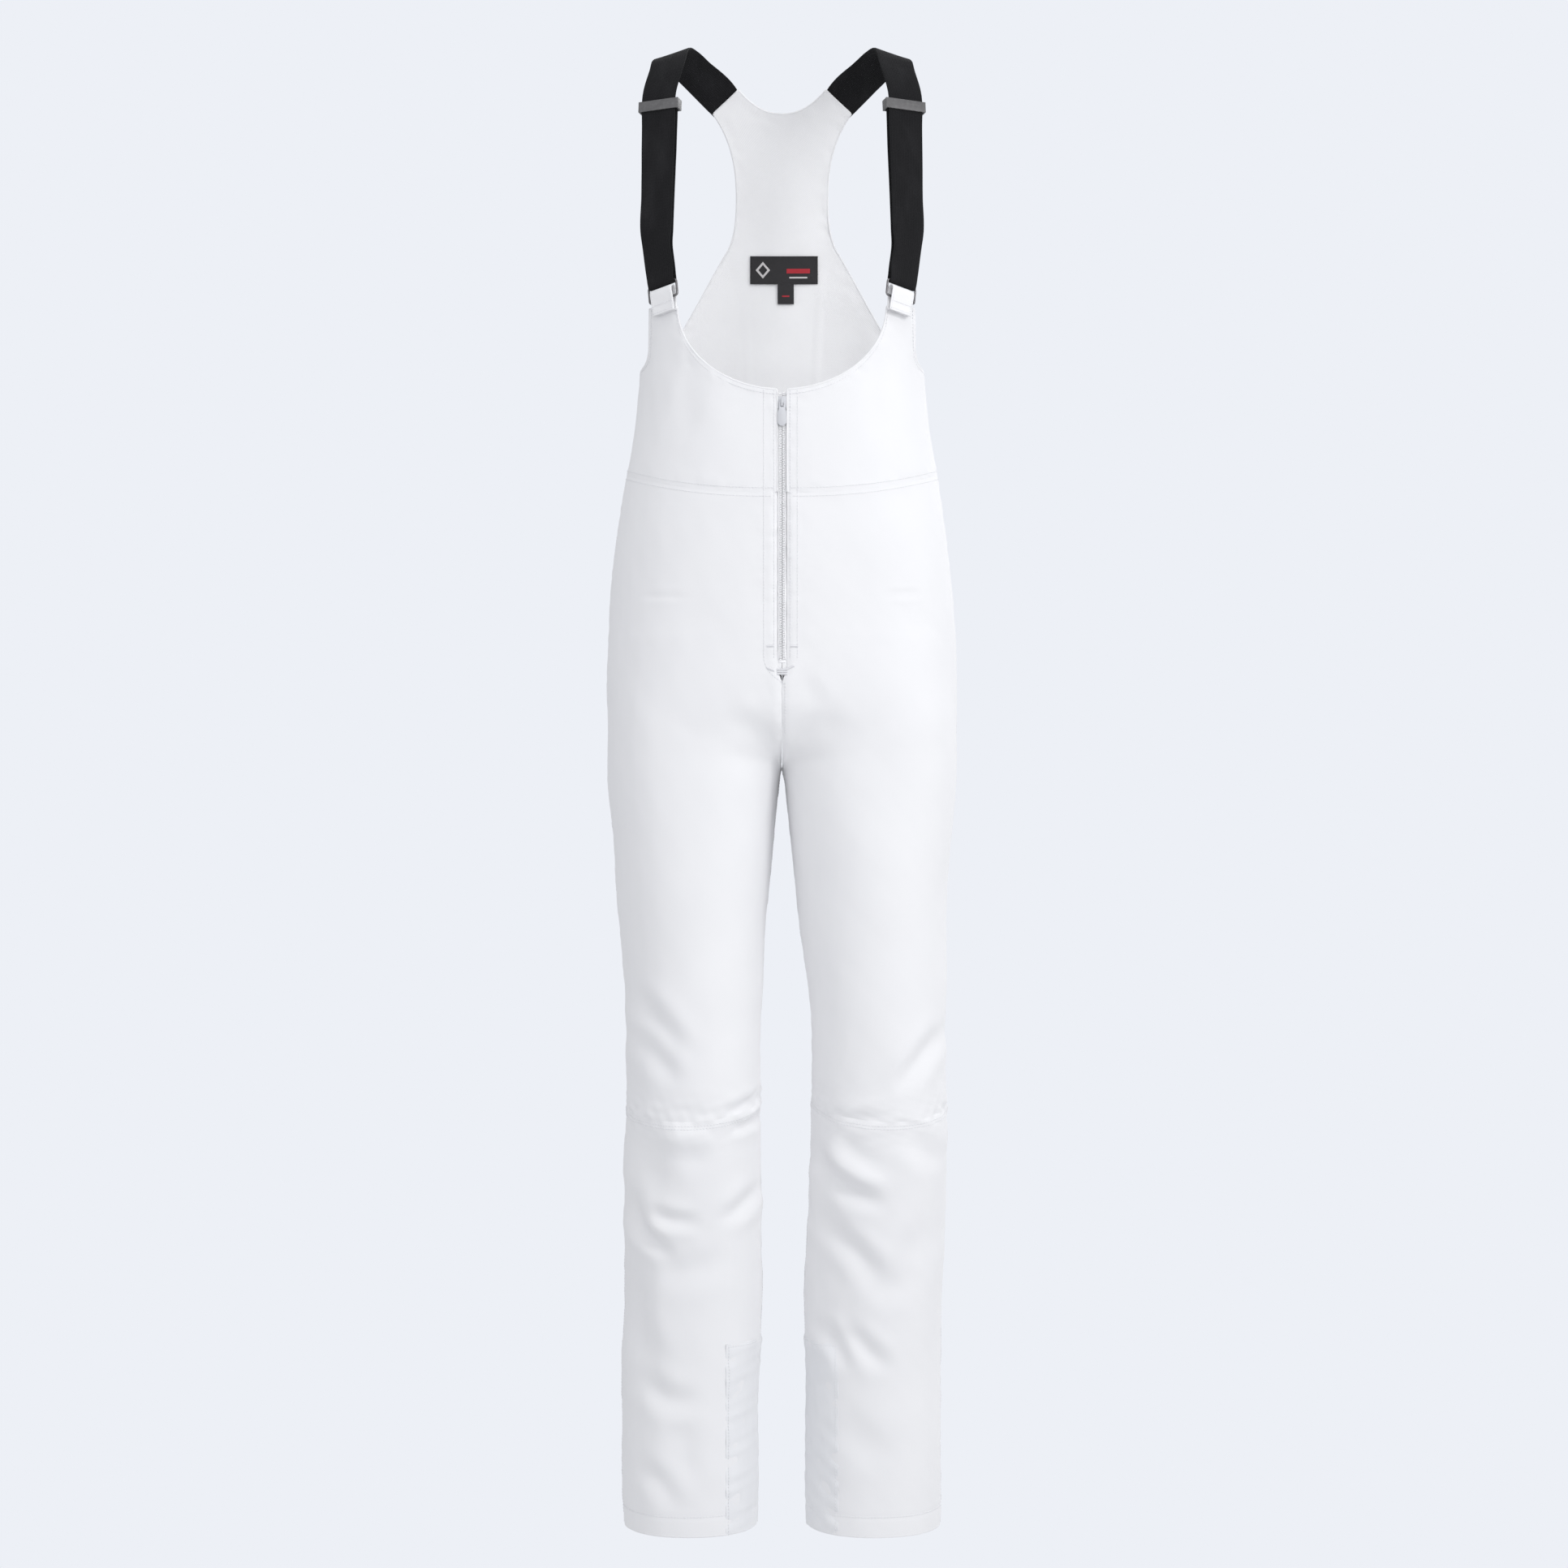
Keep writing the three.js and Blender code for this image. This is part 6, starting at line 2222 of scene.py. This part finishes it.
        def inset(share: Array, turn: Array) -> Array:
            """The gaiter draws in, and its gathers deepen towards the elastic."""
            gathers = np.sin(turn * 31 + 1.3 * np.sin(turn * 5)) * 1.5 * share**1.4
            return 4.2 + 11.6 * share + gathers + 0.9 * np.sin(turn * 7 + 2) * share

        def ribbed(share: Array, turn: Array) -> Array:
            """The elastic stands at one depth, with fine ribs."""
            return 15.6 + 0.35 * np.sin(turn * 62) + 0 * share

        grid, normals = self.sleeve(top, bottom, 40, inset, 5.0)
        gaiter = room.make(grid_shape(grid, normals, around=True), f"gaiter_{word}", "gaiter")
        area = area_of(gaiter)
        walled(gaiter, 0.7)
        self.finish(gaiter, "gaiter_cloth", "boot_gaiter")
        declare(gaiter, self.girth(grid), 116.0, Held.GATHERED, area)
        grid, normals = self.sleeve(bottom + 1.5, bottom - 12, 10, ribbed, 5.0)
        band = room.make(grid_shape(grid, normals, around=True), f"gaiter_band_{word}", "webbing")
        walled(band, 2.0)
        self.finish(band, "elastic", "gaiter_elastic")
        declare(band, self.girth(grid), 13.5, Held.STRETCHED)


# --- labels


@dataclass
class Labels:
    """Woven label inside the back, with a plain emblem, and the size tab below it."""

    middle: tuple[float, float] = (2.0, -217.0)  # x and level of the label's middle
    size: tuple[float, float] = (75.0, 30.0)  # width and height of the label
    tab: tuple[float, float] = (18.0, 23.0)  # width and height of the size tab
    tab_x: float = 4.0  # x of the tab's middle

    def patch(
        self, corners: Array, depth: float, thick: float, name: str, material: Material,
        *nodes: str,
    ) -> Piece:
        """A thin patch against the inside of the back.

        Args:
            corners: its outline as (x, z) places, once round.
            depth: of its far side inside the back's outside.
            thick: its thickness.
            name: of the piece.
            material: its finish.
            nodes: that it stands for.

        Returns:
            The piece, riding on the root.
        """
        outline = np.concatenate(
            [spaced(np.array([a, b]), 3.0)[:-1] for a, b in zip(corners, np.roll(corners, -1, 0))]
        )
        wavy = Ripple(0.18, 22.0, 91)

        def place(cloth: Array) -> Array:
            """Places of (x, z) on the label's near side."""
            flat = BACK_SKIN.unrolled(cloth[:, 0], cloth[:, 1])
            points = BACK_SKIN.place(flat, depth + thick)
            points[:, 1] -= wavy.at(points) + 0.15
            return points

        shape = outline_sheet(outline, 2.6, place)
        shape.faces = [face[::-1] for face in shape.faces]
        piece = shape.build(name, material)
        walled(piece, thick)
        placed(piece, "root", "label", *nodes)
        return piece

    def box(self, x: float, z: float, width: float, height: float) -> Array:
        """Corners of an upright box."""
        a, b = width / 2, height / 2
        return np.array([(x - a, z - b), (x + a, z - b), (x + a, z + b), (x - a, z + b)])

    def build(self, room: Workroom) -> None:
        """Makes the label, its emblem, its tab and the stitches that hold it."""
        get = room.finishes.get
        (x, z), (width, height) = self.middle, self.size
        box = self.box(x, z, width, height)
        piece = self.patch(box, 2.2, 0.8, "woven_label", get("label"), "neck_label")
        declare(piece, width, height, Held.STRETCHED)
        tab_z = z - height / 2 - self.tab[1] / 2 + 1.5
        box = self.box(self.tab_x, tab_z, *self.tab)
        piece = self.patch(box, 2.2, 0.7, "size_tab", get("label"), "size_label")
        declare(piece, *self.tab, Held.HUNG)
        left = x - width / 2 + 14
        diamond = np.array([(left - 8, z), (left, z - 9), (left + 8, z), (left, z + 9)])
        inner = np.array([left, z]) + (diamond - np.array([left, z])) * 0.62
        for name, corners, depth, finish in (
            ("label_diamond", diamond, 2.9, "label_pale"),
            ("label_diamond_middle", inner, 3.15, "label"),
            ("label_bar", self.box(x + 16, z - 1, 26, 5), 2.9, "label_red"),
            ("label_line", self.box(x + 16, z - 8, 20, 1.6), 2.9, "label_pale"),
            ("tab_line", self.box(self.tab_x, tab_z - 3, 8, 1.6), 2.8, "label_red"),
        ):
            piece = self.patch(corners, depth, 0.4, name, get(finish))
            size = corners.max(0) - corners.min(0)
            if min(size) >= 10:
                declare(piece, size[0], size[1], Held.STRETCHED, area_of(piece))
        ring = self.box(x, z, width - 3, height - 3)
        lines = []
        for a, b in zip(ring, np.roll(ring, -1, 0)):
            flat = spaced(np.array([a, b]), 2.0)
            lines.append(BACK_SKIN.place(BACK_SKIN.unrolled(flat[:, 0], flat[:, 1]), 3.25))
        piece = room.sew("label_stitches", lines, "dark_thread", Bars(2.4, 1.8, 0.5, 0.5))
        placed(piece, "root", "label")
        LOG.info("labels")


# --- topstitching


@dataclass
class Topstitching:
    """Rows of stitches beside the seams."""

    trousers: Trousers  # the legs that carry them
    bib: Bib  # the bib that carries them

    def panels(self, room: Workroom) -> None:
        """Sews along the edges of every trouser panel."""
        beside = 1.9  # rows or columns from the seam to its stitches
        for name, panel in self.trousers.panels.items():
            rows, columns = panel.grid.shape[:2]
            r = np.arange(1.0, rows - 1.0, 1.5)
            c = np.arange(1.5, columns - 2.5, 1.5)
            lines = []
            if name.startswith("back"):
                lines += [panel.line(r, beside), panel.line(r, columns - 1 - beside)]
            lines.append(panel.line(beside, c))
            if "lower" in name:
                lines += [panel.line(rows - 1 - 21 / 2.55, c), panel.line(3.1, c)]
            piece = room.sew(f"stitches_{name}", lines)
            panel.follow(piece)

    def fly(self, room: Workroom) -> None:
        """Sews the fly: lines beside the zip and below it, and bar tacks at its foot."""
        fronts = [self.trousers.panels[f"front_upper_{hand.word}"].piece for hand in Hand]
        fronts += [self.bib.pieces[f"bib_panel_{hand.word}"] for hand in Hand]
        tree_front = panel_tree(*fronts)

        def sewn(flat: Array, lift: float = 0.25) -> Array:
            """A line of (x, z) places on the front."""
            return laid(tree_front, flat, Face.FRONT, lift)

        z = np.linspace(-372, -641, 120)
        lines = [sewn(np.stack([np.full(120, x), z], 1)) for x in (-18.5, -8.2, 8.4, 15.5)]
        lines.append(sewn(bezier([(-18.5, -641), (-18, -655), (-6, -663), (1.5, -668)], 24)))
        lines.append(sewn(np.linspace((3.2, -668), (3.2, -718), 20)))
        placed(room.sew("fly_stitches", lines), "root", "softshell")
        tacks = [
            sewn(np.linspace(start, end, 12), 0.5)
            for start, end in (
                ((-15, -630), (-9, -630)), ((-15, -652), (-8, -655)),
                ((9, -630), (16, -630)), ((2, -655), (12, -650)),
            )
        ]
        foot = sewn(np.array([(-5.0, -656.0), (5.0, -656.0)]), 0.3)
        for shift in (-2.2, 0.0, 2.2):
            tacks.append(np.linspace(foot[0], foot[-1], 24) + np.array([0.0, 0.0, shift]))
        bars = Bars(0.55, 0.8, 2.6, 0.9, across=(0.0, 0.0, 1.0))
        placed(room.sew("bar_tacks", tacks, "thread", bars), "root", "softshell")

    def bib_edges(self, room: Workroom) -> None:
        """Sews beside the bib's rolled edges and the seams of the back."""
        lines = self.bib.front_lines(self.trousers.panels["front_upper_left"].grid[0])
        back = self.bib.back_lines(self.trousers.panels["back_upper_left"].grid[0])
        out, signs = -0.45, (-1, 1)  # how far the thread stands off, and both sides

        def both(skin: TorsoSkin, *moved: Array) -> list[Array]:
            """Cloth lines on the garment, on the wearer's right and then on the left."""
            return [skin.place(line, out) * np.array([s, 1, 1]) for s in signs for line in moved]

        found = both(
            FRONT_SKIN,
            lines["scoop"] + np.array([0, -4.6]),
            lines["arm"] + np.array([-4.4, -2.5]),
            lines["waist"][2:-2] + np.array([0, 4.6]),
        )
        neck = np.concatenate([back["neck_right"][:-1], back["neck_left"]])[2:-2]
        found.append(BACK_SKIN.place(neck + np.array([0, -4.6]), out))
        arm = back["arm_left"][2:] + np.array([-4.2, -2.6])
        found += both(BACK_SKIN, arm, back["waist_left"][2:-1] + np.array([0, 4.6]))
        tree_back = panel_tree(self.bib.pieces["racer_back"])
        for sign in signs:
            for offset in (-3.0, 3.0):
                knots = np.array([(sign * x + offset, 0, z) for x, z in PRINCESS_LINE])
                seam = smooth_path(knots, 6.0)[:, [0, 2]]
                found.append(laid(tree_back, seam, Face.BACK))
        placed(room.sew("bib_stitches", found), "root", "softshell")

    def build(self, room: Workroom) -> None:
        """Makes every row of stitches."""
        self.panels(room)
        self.fly(room)
        self.bib_edges(room)
        LOG.info("topstitching")


# --- studio


@dataclass
class Studio:
    """Plain pale room with soft light, and the camera straight in front."""

    tone: Triple = (0.847, 0.871, 0.922)  # colour of the room, linear
    soft: Triple = (0.880, 0.892, 0.925)  # colour of the light from all round
    fill: float = 0.80  # strength of that light
    eye: Triple = (0.002, -3.2, -0.770)  # place of the camera
    lens: float = 70.16  # its focal length, in millimetres

    def room(self) -> None:
        """Makes the world and the floor in one pale tone."""
        scene = bpy.context.scene
        world = bpy.data.worlds.new("pale_room")
        world.use_nodes = True
        nodes, links = world.node_tree.nodes, world.node_tree.links
        seen = nodes["Background"]
        seen.inputs["Color"].default_value = (*self.tone, 1)
        seen.inputs["Strength"].default_value = 1.0
        fill = nodes.new("ShaderNodeBackground")
        fill.inputs["Color"].default_value = (*self.soft, 1)
        fill.inputs["Strength"].default_value = self.fill
        path, mix = nodes.new("ShaderNodeLightPath"), nodes.new("ShaderNodeMixShader")
        links.new(path.outputs["Is Camera Ray"], mix.inputs[0])
        links.new(fill.outputs[0], mix.inputs[1])
        links.new(seen.outputs[0], mix.inputs[2])
        links.new(mix.outputs[0], nodes["World Output"].inputs["Surface"])
        scene.world = world
        scene.view_settings.view_transform = "Standard"
        bench = Bench("pale_floor", self.tone, Roughness=1.0, Specular_IOR_Level=0.0)
        bench.shader.inputs["Base Color"].default_value = (0, 0, 0, 1)
        bench.shader.inputs["Emission Color"].default_value = (*self.tone, 1)
        bench.shader.inputs["Emission Strength"].default_value = 1.0
        size, level = 9000.0, HEM_Z - 22
        spread = ((-size, -size), (size, -size), (size, size), (-size, size))
        corners = np.array([(x, y, level) for x, y in spread])
        floor = Shape(corners, [(0, 1, 2, 3)]).build("floor", bench.material)
        floor.visible_diffuse = floor.visible_glossy = False

    def lamp(self, name: str, place: Triple, aim: Triple, power: float, size: float) -> None:
        """Hangs a soft square lamp.

        Args:
            name: of the lamp.
            place: where it hangs, in metres.
            aim: what it faces.
            power: in watts.
            size: side of the square.
        """
        data = bpy.data.lights.new(name, "AREA")
        data.energy, data.size = power, size
        lamp = bpy.data.objects.new(name, data)
        lamp.location = place
        way = Vector(aim) - Vector(place)
        lamp.rotation_euler = way.to_track_quat("-Z", "Y").to_euler()
        bpy.context.scene.collection.objects.link(lamp)

    def build(self) -> None:
        """Makes room, lamps and camera."""
        self.room()
        middle = (0.0, 0.0, -0.75)
        self.lamp("key", (2.3, -2.0, 0.6), middle, 28.0, 0.9)
        self.lamp("front", (0.3, -3.6, 0.4), (0.0, 0.0, -0.5), 18.0, 2.0)
        self.lamp("top", (0.4, -1.2, 1.5), (0.0, 0.0, -0.2), 7.0, 1.0)
        self.lamp("back", (1.6, 2.3, 0.5), middle, 20.0, 1.2)
        data = bpy.data.cameras.new("camera")
        data.lens, data.sensor_width = self.lens, 36.0
        camera = bpy.data.objects.new("camera", data)
        camera.location = self.eye
        camera.rotation_euler = (math.pi / 2, 0, 0)
        bpy.context.scene.collection.objects.link(camera)
        bpy.context.scene.camera = camera


def main() -> None:
    """Builds the garment in order."""
    logging.basicConfig(level=logging.INFO, format="%(name)s: %(message)s")
    Studio().build()
    room = Workroom()
    room.tree.build()
    trousers = Trousers()
    trousers.build(room, simulate=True)
    bib = Bib()
    bib.build(trousers, room)
    for hand in Hand:
        StrapSet(hand).build(room)
        HemSet(hand, trousers).build(room)
    Zip().build(room)
    Labels().build(room)
    Topstitching(trousers, bib).build(room)


if __name__ == "__main__":
    main()
